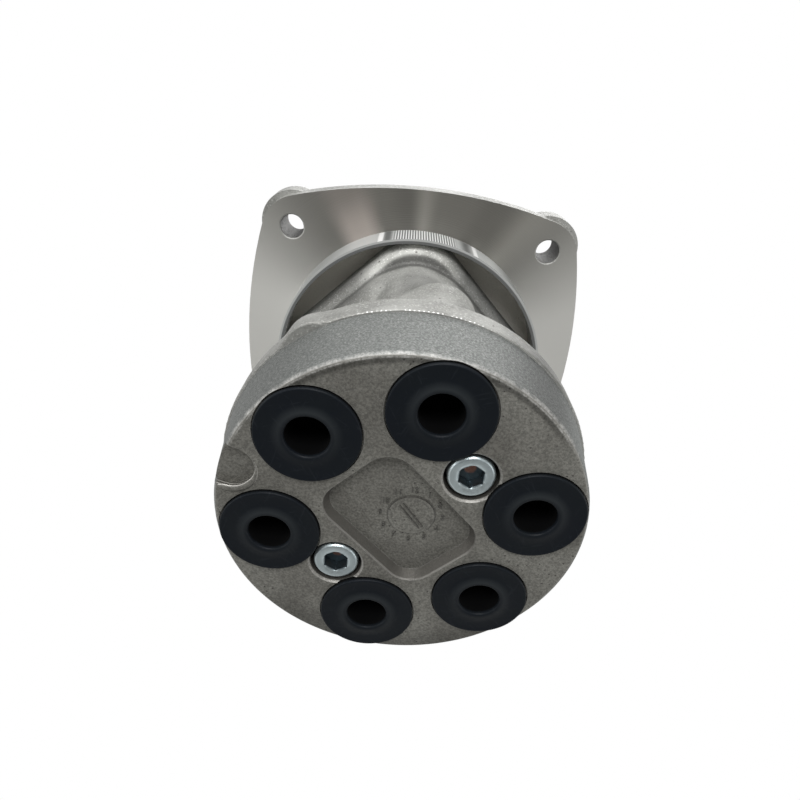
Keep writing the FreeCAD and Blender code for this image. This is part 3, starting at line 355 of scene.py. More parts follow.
# %% Cast grain
group, source, result = new_group("cast_grain", "ShaderNodeTree", [
    ("Size", FLOAT, 0.6), ("Pits", FLOAT, 0.3)],
    [("Tone", FLOAT), ("Height", FLOAT), ("Patches", FLOAT), ("Pit", FLOAT)])
spot = given(group, "ShaderNodeTexCoord", "Object")
fineness = 1 / MM / source["Size"]
grain = noise(group, Vector=spot, Scale=fineness, Detail=3.0, Roughness=0.65)
coarse = noise(group, Vector=spot, Scale=fineness * 0.3, Detail=2.0)
patches = noise(group, Vector=spot, Scale=70.0, Detail=4.0, Roughness=0.6)
cells = add_node(group, "ShaderNodeTexVoronoi", {
    "Vector": spot, "Scale": fineness * 0.28}).outputs["Distance"]
pit = (1 - smooth_step(cells, 0.06, 0.2)) * source["Pits"] * smooth_step(patches, 0.45, 0.6)
fill(result, {"Tone": smooth_step(grain, 0.3, 0.7), "Height": grain + coarse * 0.8 - pit,
              "Patches": smooth_step(patches, 0.3, 0.7), "Pit": pit})
CAST_GRAIN = group
print("group: cast grain")

# %% Fine scratches
SCRATCH_TURNS = ((17.0, 0.0), (-38.0, 0.4), (71.0, 0.9), (118.0, 1.7))      # degrees, shift
group, source, result = new_group("fine_scratches", "ShaderNodeTree", [
    ("Length", FLOAT, 12.0), ("Spacing", FLOAT, 1.2), ("Amount", FLOAT, 0.5)],
    [("Mask", FLOAT)])
together = 0.0
for turn, shift in SCRATCH_TURNS:
    axes = split(add_node(group, "ShaderNodeMapping", {
        "Vector": given(group, "ShaderNodeTexCoord", "Object"), "Location": (shift, 0, 0),
        "Rotation": (0, 0, math.radians(turn))}).outputs[0])
    stretched = add_node(group, "ShaderNodeCombineXYZ", {
        "X": axes["X"] / MM / source["Length"], "Y": axes["Y"] / MM / source["Spacing"],
        "Z": axes["Z"] * 40.0}).outputs[0]
    streak = noise(group, Vector=stretched, Scale=1.0, Detail=2.0, Distortion=0.25)
    together = maths("MAXIMUM", smooth_step(streak, 0.66, 0.72), together)
fill(result, {"Mask": together * source["Amount"]})
SCRATCHES = group
print("group: fine scratches")

# %% Worn edges
group, source, result = new_group("worn_edges", "ShaderNodeTree", [
    ("Width", FLOAT, 0.4), ("Breakup", FLOAT, 0.5)], [("Mask", FLOAT)])
softened = add_node(group, "ShaderNodeBevel", {"Radius": source["Width"] * MM},
                    samples=4).outputs["Normal"]
agreement = add_node(group, "ShaderNodeVectorMath", {
    0: softened, 1: given(group, "ShaderNodeNewGeometry", "Normal")},
    operation="DOT_PRODUCT").outputs["Value"]
chips = noise(group, Vector=given(group, "ShaderNodeTexCoord", "Object"), Scale=700.0, Detail=3.0)
kept = 1 - source["Breakup"] * smooth_step(chips, 0.35, 0.65)
fill(result, {"Mask": smooth_step(1 - agreement, 0.004, 0.08) * kept})
WORN_EDGES = group
print("group: worn edges")


# %% Use a group in a material
def use_group(tree, group, **inputs):
    """The outputs of a shared effect, with this material's own values."""
    return fill(add_node(tree, "ShaderNodeGroup", node_tree=group), inputs).outputs


def band(value, low, high, soft):
    """1 where a value lies between two limits, with soft sides."""
    return use_group(value.id_data, BAND, Value=value, Low=low, High=high, Soft=soft)["Mask"]


def axis_distance(tree, reach_x, reach_y=0.0, turn=0.0):
    """Millimetres from the nearest of the upright axes that stand at a reach."""
    return use_group(tree, AXIS_DISTANCE, **{
        "Turn": turn, "Reach X": reach_x, "Reach Y": reach_y})["Distance"]


def scratches(tree, length, spacing, amount):
    """A mask of fine scratches."""
    return use_group(tree, SCRATCHES, Length=length, Spacing=spacing, Amount=amount)["Mask"]


def worn_edges(tree, width, breakup):
    """A mask of rubbed edges."""
    return use_group(tree, WORN_EDGES, Width=width, Breakup=breakup)["Mask"]


def start_material(name):
    """An empty material with a Principled shader on its output."""
    material = bpy.data.materials.new(name)
    material.use_nodes = True
    tree = material.node_tree
    tree.nodes.clear()
    shader = add_node(tree, "ShaderNodeBsdfPrincipled")
    add_node(tree, "ShaderNodeOutputMaterial", {"Surface": shader.outputs[0]})
    return material, tree, shader


def bumped(height, depth):
    """The normals that a height gives. Depth in millimetres."""
    return add_node(height.id_data, "ShaderNodeBump", {
        "Height": height, "Distance": depth * MM, "Strength": 1.0}).outputs[0]


print("material helpers ready")

# %% [markdown]
# ## The casting
#
# The casing is one sand casting in aluminium. Most of it keeps the matt, grainy skin of the
# mould. Three places are turned on a lathe after casting: the underside of the flange, the
# outside of the round spigot, and the spigot's end. One material does both, with masks from
# the *place* group, because the real thing is also one piece of metal: the tool only
# took its skin off. The turned face has a painted reflection, a slow gradient that fans out
# from the axis, and the spigot carries the short upright ripples of a tool that chattered,
# as bumps with painted highlights and two painted glints. The recess, the bolt holes and the
# neck's groove and flanks get painted shade, and the neck's crest a painted highlight.

# %% Cast aluminium
CAST_LIGHT = (0.44, 0.44, 0.42, 1)
CAST_DARK = (0.24, 0.24, 0.225, 1)
CAST_SPARK = (0.72, 0.72, 0.7, 1)
CAST_PIT = (0.1, 0.095, 0.09, 1)
# painted reflection of the turned face: the tones of its fan of light and dark
TURNED_REFLECTION_PALE = (0.66, 0.655, 0.625, 1)
TURNED_REFLECTION_DARK = (0.112, 0.108, 0.096, 1)
TURNED_REFLECTION_GREY = (0.24, 0.232, 0.208, 1)
TURNED_REFLECTION_WARM = (0.4, 0.355, 0.325, 1)
CAST_METAL = 0.55
TURNED_METAL = 0.25
TURNED_ROUGH = 0.34
# the spigot: its own pale tone, painted shade, and the white of the painted highlights
SPIGOT_PALE = (0.54, 0.55, 0.54, 1)
SPIGOT_SHADE = (0.16, 0.165, 0.165, 1)
HIGHLIGHT_WHITE = (1.0, 1.0, 0.99, 1)
# painted shade in the recess inside the spigot and in the bolt holes
RECESS_PAINTED_SHADE = (0.58, 0.56, 0.51, 1)
HOLE_SHADE = (0.1, 0.098, 0.092, 1)
# painted shade in the neck's groove
GROOVE_SHADE = 0.5
# a blend is (start, end), a zone is (low, high, softness), and a painted shade adds its
# amount (a negative amount is painted light): in millimetres for heights and distances, in
# degrees for angles round the valve
FOOT_BLEND = (-60.8, -59.6)
FLANK_BLEND = (-34.0, -24.0)
# painted shade on the neck's flanks, away from the front
FLANK_SHADES = ((-162.0, -120.0, 7.0, 0.3), (-69.0, -18.0, 6.0, 0.5))
BOSS_REACH = (23.35, 15.81)
BOSS_TURN = 45.0
BOSS_BLEND = (10.2, 12.8)
# painted shade above the port bosses, and a little painted light on their sides
BOSS_SHADES = ((-36.5, -19.5, 2.5, 0.27), (-46.0, -37.5, 1.5, -0.08))
GROOVE_PLACE = ((9.0, 12.9, 0.6), (-13.0, -9.2, 1.0))      # from the diamond, in height
# painted highlight on the pedestal's crest, strongest at the front
CREST_PLACE = ((13.3, 19.0, 0.5), (-11.5, -6.0, 0.8))
CREST_FRONT = (-114.0, -76.0, 8.0)
CREST_HIGHLIGHT = 1.7
SPIGOT_RADIUS = 41.75
SPIGOT_INNER = 40.3
SPIGOT_END = -10.7
CHATTER_PITCH = 1.07          # degrees
# the chatter marks show as painted highlights in this zone; two painted glints stand beside it
CHATTER_ZONE = (-101.0, -76.0, 1.5)
GLINTS = (-106.4, -66.8)
SPIGOT_SHADOWS = ((-150.0, -126.0, 10.0, 0.35), (-52.0, -12.0, 8.0, 0.5),
                  (-73.0, -69.0, 2.0, 0.7), (-105.0, -102.0, 1.0, 0.7))
# painted light streaks and a warm streak in the turned face's painted reflection
FAN_STREAKS = ((-89.4, 2.6, 3.0), (-56.0, 4.0, 5.0))      # middle, half width, softness
FAN_WARM = (-114.8, 6.5, 4.0)
WARM_FADE = (45.0, 56.0)
END_EDGE = (41.0, 41.25)
BOLT_HALF = 39.2
BOLT_HOLE = 3.5
# bright tool marks along the joint line, drawn in the painted highlight white along the front
JOINT_LINE_TOP = -68.74
JOINT_PITCH = 1.3
JOINT_LINE = (-108.0, -71.0, 4.0)
# painted shade on the sides of the foot and the plate
SHADED_SIDES = ((-165.0, -122.0, 12.0, 0.25), (-62.0, -38.0, 10.0, 0.42))


def side_shade(angle):
    """Painted shade: how much darker the foot's and the plate's sides are, by the angle round the
    valve.
    """
    total = 1.0
    for low, high, soft, amount in SHADED_SIDES:
        total = (1 - band(angle, low, high, soft) * amount) * total
    return total


def skin_marks(colour, place):
    """Painted shade and light on the neck and the foot: sides, flanks, bosses, groove and crest,
    and the joint's tool marks in highlight white.
    """
    height, angle, diamond = place["Height"], place["Angle"], place["Diamond"]
    # painted shade on the foot's sides, by the angle round the valve
    on_foot = 1 - smooth_step(height, *FOOT_BLEND)
    colour = scaled(colour, on_foot * (side_shade(angle) - 1) + 1)
    # painted shade on the flanks
    high_up = smooth_step(height, *FLANK_BLEND)
    for low, high, soft, amount in FLANK_SHADES:
        colour = scaled(colour, 1 - band(angle, low, high, soft) * high_up * amount)
    # painted shade just above the bosses, and a little painted light on them
    from_boss = axis_distance(colour.id_data, *BOSS_REACH, turn=BOSS_TURN)
    near_boss = 1 - smooth_step(from_boss, *BOSS_BLEND)
    for low, high, soft, amount in BOSS_SHADES:
        colour = scaled(colour, 1 - band(height, low, high, soft) * near_boss * amount)
    # painted shade in the groove under the pedestal, and a painted highlight on its crest
    groove = band(diamond, *GROOVE_PLACE[0]) * band(height, *GROOVE_PLACE[1])
    crest = band(diamond, *CREST_PLACE[0]) * band(height, *CREST_PLACE[1])
    crest = crest * (band(angle, *CREST_FRONT) * 0.65 + 0.35)
    highlight_lift = crest * (CREST_HIGHLIGHT - 1) + 1
    colour = scaled(colour, highlight_lift * (groove * (GROOVE_SHADE - 1) + 1))
    # the joint's tool marks, real dashes drawn as painted highlights in white along the front
    tool_marks = maths("SINE", angle * (2 * math.pi / JOINT_PITCH))
    low_edge = 1 - smooth_step(height, JOINT_LINE_TOP - 0.1, JOINT_LINE_TOP + 0.05)
    patchy = smooth_step(line_noise(angle * 0.16, 1.0), 0.3, 0.4)
    marked = band(angle, *JOINT_LINE) * low_edge * patchy
    return mix_colours(smooth_step(tool_marks, 0.1, 0.6) * marked, colour, HIGHLIGHT_WHITE)


def turned_marks(colour, rough, height, place):
    """The turned faces: the flange's painted fan of reflected light, the spigot's chatter marks
    with painted highlights, and painted shade in its recess and the holes.
    """
    radius, level, angle, down = (place[k] for k in ("Radius", "Height", "Angle", "Downward"))
    seat = band(level, -0.3, 0.3, 0.1)
    face = down * seat * smooth_step(radius, SPIGOT_RADIUS - 0.15, SPIGOT_RADIUS + 0.05)
    ring = band(radius, SPIGOT_INNER - 0.1, SPIGOT_RADIUS + 0.2, 0.05)
    ring = ring * band(level, SPIGOT_END - 0.5, -0.1, 0.1)
    # painted reflection: the flange's fan of light and dark round the axis, with light streaks, a
    # warm streak and paler sides away from the front
    fan = smooth_step(line_noise(angle * 0.045, 1.0), 0.35, 0.65) * 0.3
    turned = mix_colours(fan, TURNED_REFLECTION_DARK, TURNED_REFLECTION_GREY)
    for middle, half, soft in FAN_STREAKS:
        streak = band(angle, middle - half, middle + half, soft)
        turned = mix_colours(streak, turned, TURNED_REFLECTION_GREY)
    middle, half, soft = FAN_WARM
    fade = 1 - smooth_step(radius, *WARM_FADE) * 0.65
    warm_reflection = band(angle, middle - half, middle + half, soft) * fade
    turned = mix_colours(warm_reflection, turned, TURNED_REFLECTION_WARM)
    side_reflection = smooth_step(maths("SINE", maths("RADIANS", angle)), -0.93, -0.3)
    turned = mix_colours(side_reflection, turned, TURNED_REFLECTION_PALE)
    # fine turning rings, lightened a little towards the pale reflection tone
    grooves = smooth_step(line_noise(radius * 6.0, 4.0), 0.3, 0.7) * 0.08
    turned = mix_colours(grooves, turned, TURNED_REFLECTION_PALE)
    colour = mix_colours(face, colour, turned)
    # painted shade in the recess inside the spigot and on its inner wall
    within = 1 - smooth_step(radius, SPIGOT_INNER - 0.1, SPIGOT_INNER + 0.05)
    inner_wall = band(radius, SPIGOT_INNER - 0.6, SPIGOT_INNER + 0.1, 0.05) * (1 - down)
    recess = maths("MAXIMUM", within * seat * down, inner_wall * 0.6)
    colour = mix_colours(recess, colour, RECESS_PAINTED_SHADE)
    # painted shade in the bolt holes
    from_bolt = axis_distance(colour.id_data, BOLT_HALF, BOLT_HALF)
    hole = 1 - smooth_step(from_bolt, BOLT_HOLE + 0.05, BOLT_HOLE + 0.12)
    colour = mix_colours(hole, colour, HOLE_SHADE)
    # chatter marks: real ripples in the bump, drawn as painted highlights in the front zone, with
    # two painted glints
    ripple = maths("SINE", angle * (2 * math.pi / CHATTER_PITCH))
    zone = band(angle, *CHATTER_ZONE)
    bars = smooth_step(ripple, -0.3, 0.5) * zone
    for glint in GLINTS:
        bars = maths("MAXIMUM", bars, band(angle, glint - 1.0, glint + 1.0, 0.4))
    chatter_and_glints = bars * ring * (1 - down)
    # painted shade: a dark line on the spigot's end, and a darker wall between and beside the
    # painted highlights
    end = mix_colours(smooth_step(radius, *END_EDGE), SPIGOT_SHADE, SPIGOT_PALE)
    wall = mix_colours(zone, SPIGOT_PALE, SPIGOT_SHADE)
    for low, high, soft, amount in SPIGOT_SHADOWS:
        wall = scaled(wall, 1 - band(angle, low, high, soft) * amount)
    spigot = mix_colours(chatter_and_glints, mix_colours(down, wall, end), HIGHLIGHT_WHITE)
    colour = mix_colours(ring, colour, spigot)
    smooth = maths("MAXIMUM", face, ring)
    rough = smooth * (TURNED_ROUGH - rough) + rough
    metal = smooth * (TURNED_METAL - CAST_METAL) + CAST_METAL
    return colour, rough, height * (1 - smooth * 0.96) + chatter_and_glints * 0.2, metal


def cast_material(name, turned):
    """The casting's finish, with the turned faces and their painted reflection and shade, or with
    the neck's painted shade and light.
    """
    material, tree, shader = start_material(name)
    grain = use_group(tree, CAST_GRAIN, Size=0.55, Pits=0.8)
    place = use_group(tree, PLACE)
    colour = mix_colours(grain["Patches"], CAST_DARK, CAST_LIGHT)
    colour = mix_colours(grain["Tone"] * 0.5, colour, CAST_LIGHT)
    colour = mix_colours(smooth_step(grain["Tone"], 0.82, 1.0) * 0.6, colour, CAST_SPARK)
    colour = mix_colours(grain["Pit"], colour, CAST_PIT)
    colour = mix_colours(worn_edges(tree, 0.5, 0.7) * 0.12, colour, CAST_SPARK)
    rough, height, metal = 0.66 - grain["Tone"] * 0.12, grain["Height"], CAST_METAL
    if turned:
        colour, rough, height, metal = turned_marks(colour, rough, height, place)
        shader.inputs["Anisotropic"].default_value = 0.5
    else:
        colour = skin_marks(colour, place)
    fill(shader, {"Base Color": colour, "Roughness": rough, "Metallic": metal,
                  "Normal": bumped(height, 0.16)})
    return material


CASTING_TURNED = cast_material("cast_and_turned_aluminium", True)
CASTING_SKIN = cast_material("cast_aluminium_skin", False)
nodes["casing"].material_slots[0].material = CASTING_TURNED
print("casing dressed")

# %% [markdown]
# ## The cast neck
#
# Between the flange and the round foot the casting narrows to four fat lobes, one round each
# spool, with smaller bosses over the ports and everything melted together by generous
# fillets. Separate cylinders would meet in hard lines. The neck is therefore grown as a
# distance field in Geometry Nodes: each form is a distance formula, a smooth minimum welds
# them with a fillet of any radius, a Volume Cube samples the result, and Volume to Mesh
# turns it into a skin. It sits a hair outside the solid casing, which stays beneath it.

# %% Distance to an upright bar with rounded ends
bar_group, source, result = new_group("bar_distance", "GeometryNodeTree", [
    ("Position", VECTOR), ("Centre", VECTOR), ("Radius", FLOAT, 10.0),
    ("Low", FLOAT, 0.0), ("High", FLOAT, 10.0), ("Round", FLOAT, 1.0)], [("Distance", FLOAT)])


def vector_maths(operation, first, second, label=0):
    """The result of a Vector Math node."""
    return add_node(first.id_data, "ShaderNodeVectorMath", {0: first, 1: second},
                    operation=operation).outputs[label]


def rounded_distance(first, second, corner):
    """The distance to a form that two distances bound, with a round corner between them."""
    out = hypotenuse(maths("MAXIMUM", first, 0.0), maths("MAXIMUM", second, 0.0))
    return out + maths("MINIMUM", maths("MAXIMUM", first, second), 0.0) - corner


def capped(flat_distance, height, low, high, rounding):
    """Raises a flat outline's distance between two heights, with rounded rims."""
    beyond = abs(height - (low + high) * 0.5) - (high - low) * 0.5
    return rounded_distance(flat_distance + rounding, beyond + rounding, rounding)


apart = vector_maths("SUBTRACT", source["Position"], source["Centre"])
away = vector_maths("LENGTH", vector_maths("MULTIPLY", apart, (1, 1, 0)), (0, 0, 0), "Value")
fill(result, {"Distance": capped(
    away - source["Radius"], split(source["Position"])["Z"], source["Low"], source["High"],
    source["Round"])})
print("group: bar distance")

# %% The neck's forms
LOBE_RADIUS = 10.8
LOBE_CIRCLE = 23.4
CORE_RADIUS = 22.5
FOOT_RADIUS = 41.8
JOINT_HEIGHT = -69.0
FOOT_TOP = -61.5
PEDESTAL_UNDER = -10.0
PEDESTAL_CIRCLE = 24.0
PEDESTAL_CORNER = 15.7
PEDESTAL_ROUND = 3.6
PEDESTAL_FILLET = 1.4
SHOULDER_CIRCLE = 13.7
SHOULDER_CORNER = 20.0
SHOULDER_LOW = -24.0
SHOULDER_ROUND = 9.0
PORT_CIRCLE = 28.2
PORT_BOSS = 10.1
PORT_BOSS_TOP = -33.4
SCREW_CIRCLE = 18.7
SCREW_BOSS = 6.5
SCREW_BOSS_TOP = -52.5
LUG_RADIUS = 6.5
LUG_CIRCLE = 36.9
LUG_ANGLE = -124.5
LUG_TOP = -62.7
SCREW_LINE = -45.0
SERVICE_OFFSET = 34.1
CORE_ROUND, FOOT_ROUND, LUG_ROUND = 0.5, 1.0, 0.8
PORT_BOSS_ROUND, SCREW_BOSS_ROUND = 4.5, 3.0
SINK, RISE = 3.0, 4.0      # how far the upright forms reach into foot and pedestal
UNIT_ANGLES = {"front": -90.0, "right": 0.0, "back": 90.0, "left": 180.0}
PORT_ANGLES = {
    "front": SCREW_LINE - SERVICE_OFFSET, "right": SCREW_LINE + SERVICE_OFFSET,
    "back": SCREW_LINE + 180 - SERVICE_OFFSET, "left": SCREW_LINE + 180 + SERVICE_OFFSET,
    "pressure": SCREW_LINE - 90, "tank": SCREW_LINE + 90}
SCREW_ANGLES = (SCREW_LINE, SCREW_LINE + 180)
SERVICE_NAMES = ("front", "right", "back", "left")


def polar(radius, degrees, height=0.0):
    """A point in millimetres at a radius and an angle."""
    turn = math.radians(degrees)
    return Vector((radius * math.cos(turn), radius * math.sin(turn), height))


low, lobe_top, foot_low = FOOT_TOP - SINK, PEDESTAL_UNDER + RISE, JOINT_HEIGHT - 2.0
neck_bars = [
    ("core", Vector(), CORE_RADIUS, low, lobe_top, CORE_ROUND, "Web"),
    *(("lobe", polar(LOBE_CIRCLE, a), LOBE_RADIUS, low, lobe_top, CORE_ROUND, "Web")
      for a in UNIT_ANGLES.values()),
    ("foot", Vector(), FOOT_RADIUS, foot_low, FOOT_TOP, FOOT_ROUND, "Fillet"),
    ("lug", polar(LUG_CIRCLE, LUG_ANGLE), LUG_RADIUS, foot_low, LUG_TOP, LUG_ROUND, "Fillet"),
    *(("port boss", polar(PORT_CIRCLE, PORT_ANGLES[n]), PORT_BOSS, low, PORT_BOSS_TOP,
       PORT_BOSS_ROUND, "Fillet") for n in SERVICE_NAMES),
    *(("screw boss", polar(SCREW_CIRCLE, a), SCREW_BOSS, low, SCREW_BOSS_TOP,
       SCREW_BOSS_ROUND, "Fillet") for a in SCREW_ANGLES)]
print("neck forms", len(neck_bars) + 2)

# %% Grow the neck
NECK_HALF = 44.8
NECK_LOW = -70.0
NECK_HIGH = 1.2
NECK_CUT = -68.96
NECK_VOXEL = 0.6
NECK_LID = 0.6
SHOULDER_OVER, PEDESTAL_OVER = 15.0, 5.0      # beyond the lid, so that no rim shows there

neck_tree, source, result = new_group("cast_neck", "GeometryNodeTree", [
    ("Web", FLOAT, 11.0), ("Fillet", FLOAT, 3.2), ("Shoulder fillet", FLOAT, 1.6),
    ("Swell", FLOAT, 0.14), ("Waviness", FLOAT, 0.16), ("Seed", FLOAT, 7.0),
    ("Material", MATERIAL)], [("Geometry", GEOMETRY)])
spot = vector_maths("MULTIPLY", given(neck_tree, "GeometryNodeInputPosition", 0), (1 / MM,) * 3)
spot_x, spot_y, spot_z = split(spot)
neck = None
for label, centre, radius, bottom, top, rounding, weld in neck_bars:
    distance = add_node(neck_tree, "GeometryNodeGroup", {
        "Position": spot, "Centre": centre, "Radius": radius, "Low": bottom, "High": top,
        "Round": rounding}, node_tree=bar_group, label=label).outputs["Distance"]
    neck = distance if neck is None else maths("SMOOTH_MIN", neck, distance, source[weld])


def diamond_distance(circle, corner_radius):
    """Flat distance to a square set on its corner, with round corners."""
    beyond = [abs(across * math.sqrt(0.5)) - circle / math.sqrt(2)
              for across in (spot_x + spot_y, spot_x - spot_y)]
    return rounded_distance(*beyond, corner_radius)


shoulder = capped(diamond_distance(SHOULDER_CIRCLE, SHOULDER_CORNER), spot_z, SHOULDER_LOW,
                  NECK_HIGH + SHOULDER_OVER, SHOULDER_ROUND)
neck = maths("SMOOTH_MIN", neck, shoulder, source["Shoulder fillet"])
pedestal = capped(diamond_distance(PEDESTAL_CIRCLE, PEDESTAL_CORNER), spot_z, PEDESTAL_UNDER,
                  NECK_HIGH + PEDESTAL_OVER, PEDESTAL_ROUND)
neck = maths("SMOOTH_MIN", neck, pedestal, PEDESTAL_FILLET)
wave = add_node(neck_tree, "ShaderNodeTexNoise", {
    "Vector": spot, "W": source["Seed"], "Scale": 0.16, "Detail": 3.0},
    noise_dimensions="4D").outputs["Fac"]
neck = neck - source["Swell"] - wave * source["Waviness"]
neck = maths("MAXIMUM", maths("MAXIMUM", neck, NECK_CUT - spot_z), spot_z - NECK_LID)
neck_cube = add_node(neck_tree, "GeometryNodeVolumeCube", {
    "Density": neck * -1.0, "Background": -5.0,
    "Min": Vector((-NECK_HALF, -NECK_HALF, NECK_LOW)) * MM,
    "Max": Vector((NECK_HALF, NECK_HALF, NECK_HIGH)) * MM,
    "Resolution X": int(2 * NECK_HALF / NECK_VOXEL),
    "Resolution Y": int(2 * NECK_HALF / NECK_VOXEL),
    "Resolution Z": int((NECK_HIGH - NECK_LOW) / NECK_VOXEL)})
neck_skin = add_node(neck_tree, "GeometryNodeVolumeToMesh", {
    "Volume": neck_cube.outputs[0], "Threshold": 0.0, "Adaptivity": 0.0})
neck_smooth = add_node(neck_tree, "GeometryNodeSetShadeSmooth", {0: neck_skin.outputs[0]})


def send_out(geometry, source, result):
    """Realises a tree's geometry, gives it its material and hands it over."""
    real = add_node(geometry.id_data, "GeometryNodeRealizeInstances", {0: geometry})
    coated = add_node(geometry.id_data, "GeometryNodeSetMaterial", {
        0: real.outputs[0], "Material": source["Material"]})
    fill(result, {"Geometry": coated.outputs[0]})


send_out(neck_smooth.outputs[0], source, result)


def grow(name, tree, values):
    """Runs a Geometry Nodes tree once and keeps its result as a plain mesh."""
    carrier = new_object(name + "_carrier", bpy.data.meshes.new(name))
    modifier = carrier.modifiers.new("grow", "NODES")
    modifier.node_group = tree
    sockets = {s.name: s.identifier for s in tree.interface.items_tree if s.in_out == "INPUT"}
    for label, value in values.items():
        modifier[sockets[label]] = value
    carrier.update_tag()
    bpy.context.view_layer.update()
    graph = bpy.context.evaluated_depsgraph_get()
    mesh = bpy.data.meshes.new_from_object(carrier.evaluated_get(graph), depsgraph=graph)
    bpy.data.objects.remove(carrier)
    mesh.name = name
    piece = new_object(name, mesh)
    print(name, len(mesh.vertices), "points", len(mesh.polygons), "faces")
    return piece


cast_neck = grow("cast_neck", neck_tree, {
    "Web": 11.0, "Fillet": 3.0, "Shoulder fillet": 1.6, "Swell": 0.14, "Waviness": 0.16,
    "Seed": 7.0, "Material": CASTING_SKIN})
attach(cast_neck, "casing")

# %% [markdown]
# ## Turned and hexagonal pieces
#
# Plugs, screws, nuts and the lever are all stacks of rings about an axis: round ones for
# turned parts, hexagonal ones for sockets and spanner flats. One helper lays the rings and
# skins them. Round corners come from a second helper that replaces a sharp corner of the
# outline by a short arc, which is what catches the light on a real edge.

# %% Ring solids
RING_STEPS = 72
ARC_STEPS = 5
SHARP_ANGLE = math.radians(38)


def rounded_line(points, radii):
    """An open outline of (radius, height) whose inner corners become short arcs."""
    line = [points[0]]
    for before, here, after, radius in zip(points, points[1:], points[2:], radii[1:]):
        middle = Vector(here)
        back, ahead = Vector(before) - middle, Vector(after) - middle
        if radius == 0 or back.length == 0 or ahead.length == 0:
            line.append(here)
            continue
        reach = min(radius, back.length * 0.49, ahead.length * 0.49)
        start, end = middle + back.normalized() * reach, middle + ahead.normalized() * reach
        for k in range(ARC_STEPS + 1):
            t = k / ARC_STEPS
            line.append(tuple(start * (1 - t) ** 2 + middle * 2 * t * (1 - t) + end * t**2))
    line.append(points[-1])
    return line


def hex_reach(angle):
    """How much further a hexagon's side is than its flat, at an angle."""
    sector = math.radians(60)
    return 1 / math.cos((angle + sector / 2) % sector - sector / 2)


def ring_mesh(rings, closed=False, steps=RING_STEPS, centre=Vector()):
    """Points and faces of stacked rings (radius, height, is_hex), in millimetres."""
    points, faces, rows = [], [], []
    for ring in rings:
        radius, height = ring[0], ring[1]
        is_hex = len(ring) > 2 and ring[2]
        if radius < 1e-6:
            rows.append([len(points)] * steps)
            points.append((centre.x * MM, centre.y * MM, height * MM))
            continue
        rows.append(list(range(len(points), len(points) + steps)))
        for k in range(steps):
            angle = 2 * math.pi * k / steps
            reach = radius * (hex_reach(angle) if is_hex else 1.0)
            points.append(((centre.x + reach * math.cos(angle)) * MM,
                           (centre.y + reach * math.sin(angle)) * MM, height * MM))
    pairs = list(zip(rows, rows[1:]))
    if closed:
        pairs.append((rows[-1], rows[0]))
    for low, high in pairs:
        for k in range(steps):
            n = (k + 1) % steps
            corners = [low[k], low[n], high[n], high[k]]
            face = [c for i, c in enumerate(corners) if c != corners[i - 1]]
            if len(face) > 2:
                faces.append(face)
    return points, faces


def tube_faces(rings, around):
    """Faces between rings of points laid one after the other, with both ends closed."""
    faces = [list(range(around)), list(range((rings - 1) * around, rings * around))]
    for start in range(0, (rings - 1) * around, around):
        for n in range(around):
            m = (n + 1) % around
            faces.append([start + n, start + m, start + around + m, start + around + n])
    return faces


def dress(piece, body, slot, *replaced):
    """Sets a piece on its body and in the place of what it replaces."""
    if body:
        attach(piece, body)
    if replaced:
        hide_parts(*replaced)
    return piece


def make_piece(name, points, faces, material, body, slot, *replaced):
    """A closed mesh with outward faces, dressed and set on its body."""
    mesh = bpy.data.meshes.new(name)
    mesh.from_pydata([tuple(p) for p in points], [], faces)
    work = bmesh.new()
    work.from_mesh(mesh)
    bmesh.ops.remove_doubles(work, verts=work.verts, dist=1e-7)
    bmesh.ops.recalc_face_normals(work, faces=work.faces)
    work.to_mesh(mesh)
    work.free()
    mesh.materials.append(material)
    mesh.shade_smooth()
    mesh.set_sharp_from_angle(angle=SHARP_ANGLE)
    return dress(new_object(name, mesh), body, slot, *replaced)


print("ring helpers ready")

# %% [markdown]
# ## Shipping plugs
#
# Each port is closed by a press-in plug of blue-black polyethylene: a thin wide flange with
# a slightly raised ring round a deep hollow. The plastic has a low sheen and small scuffs.
# The raised ring shows as a faint greenish painted highlight, strongest towards the front,
# and the hollow is painted near black as painted shade. The flange's edge is rounded, which
# gives the thin light line round each plug.

# %% Plug plastic
PLUG_BLUE = (0.0062, 0.0083, 0.0118, 1)
PLUG_SCUFF = (0.03, 0.035, 0.042, 1)
PLUG_RING_TONE = (0.0085, 0.0115, 0.0125, 1)
# painted shade for the plug's hollow
PLUG_HOLLOW_SHADE = (0.0006, 0.0007, 0.0009, 1)
# painted highlight on the plug's raised ring
PLUG_RING_HIGHLIGHT = (0.024, 0.028, 0.031, 1)
HOLLOW_BLEND = (-84.5, -83.9)

PLUG_PLASTIC, tree, shader = start_material("plug_polyethylene")
grain = use_group(tree, CAST_GRAIN, Size=1.4, Pits=0.2)
hollow = smooth_step(use_group(tree, PLACE)["Height"], *HOLLOW_BLEND)
colour = mix_colours(grain["Patches"] * 0.35, PLUG_BLUE, PLUG_RING_TONE)
colour = mix_colours(scratches(tree, 5.0, 0.5, 0.35) * 0.5, colour, PLUG_SCUFF)
colour = mix_colours(worn_edges(tree, 0.35, 0.5) * 0.2, colour, PLUG_SCUFF)
# painted highlight on the raised ring, strongest towards the front, from a point layer
ring_tone = add_node(tree, "ShaderNodeAttribute", attribute_name="ring_tone").outputs["Fac"]
colour = mix_colours(ring_tone, colour, PLUG_RING_HIGHLIGHT)
sheen = grain["Tone"] * 0.1 + 0.42
# painted shade: the hollow is coloured near black
fill(shader, {"Base Color": mix_colours(hollow, colour, PLUG_HOLLOW_SHADE),
              "Roughness": hollow * (0.95 - sheen) + sheen, "Specular IOR Level": 0.13,
              "Normal": bumped(grain["Height"], 0.02)})
print("plug plastic ready")

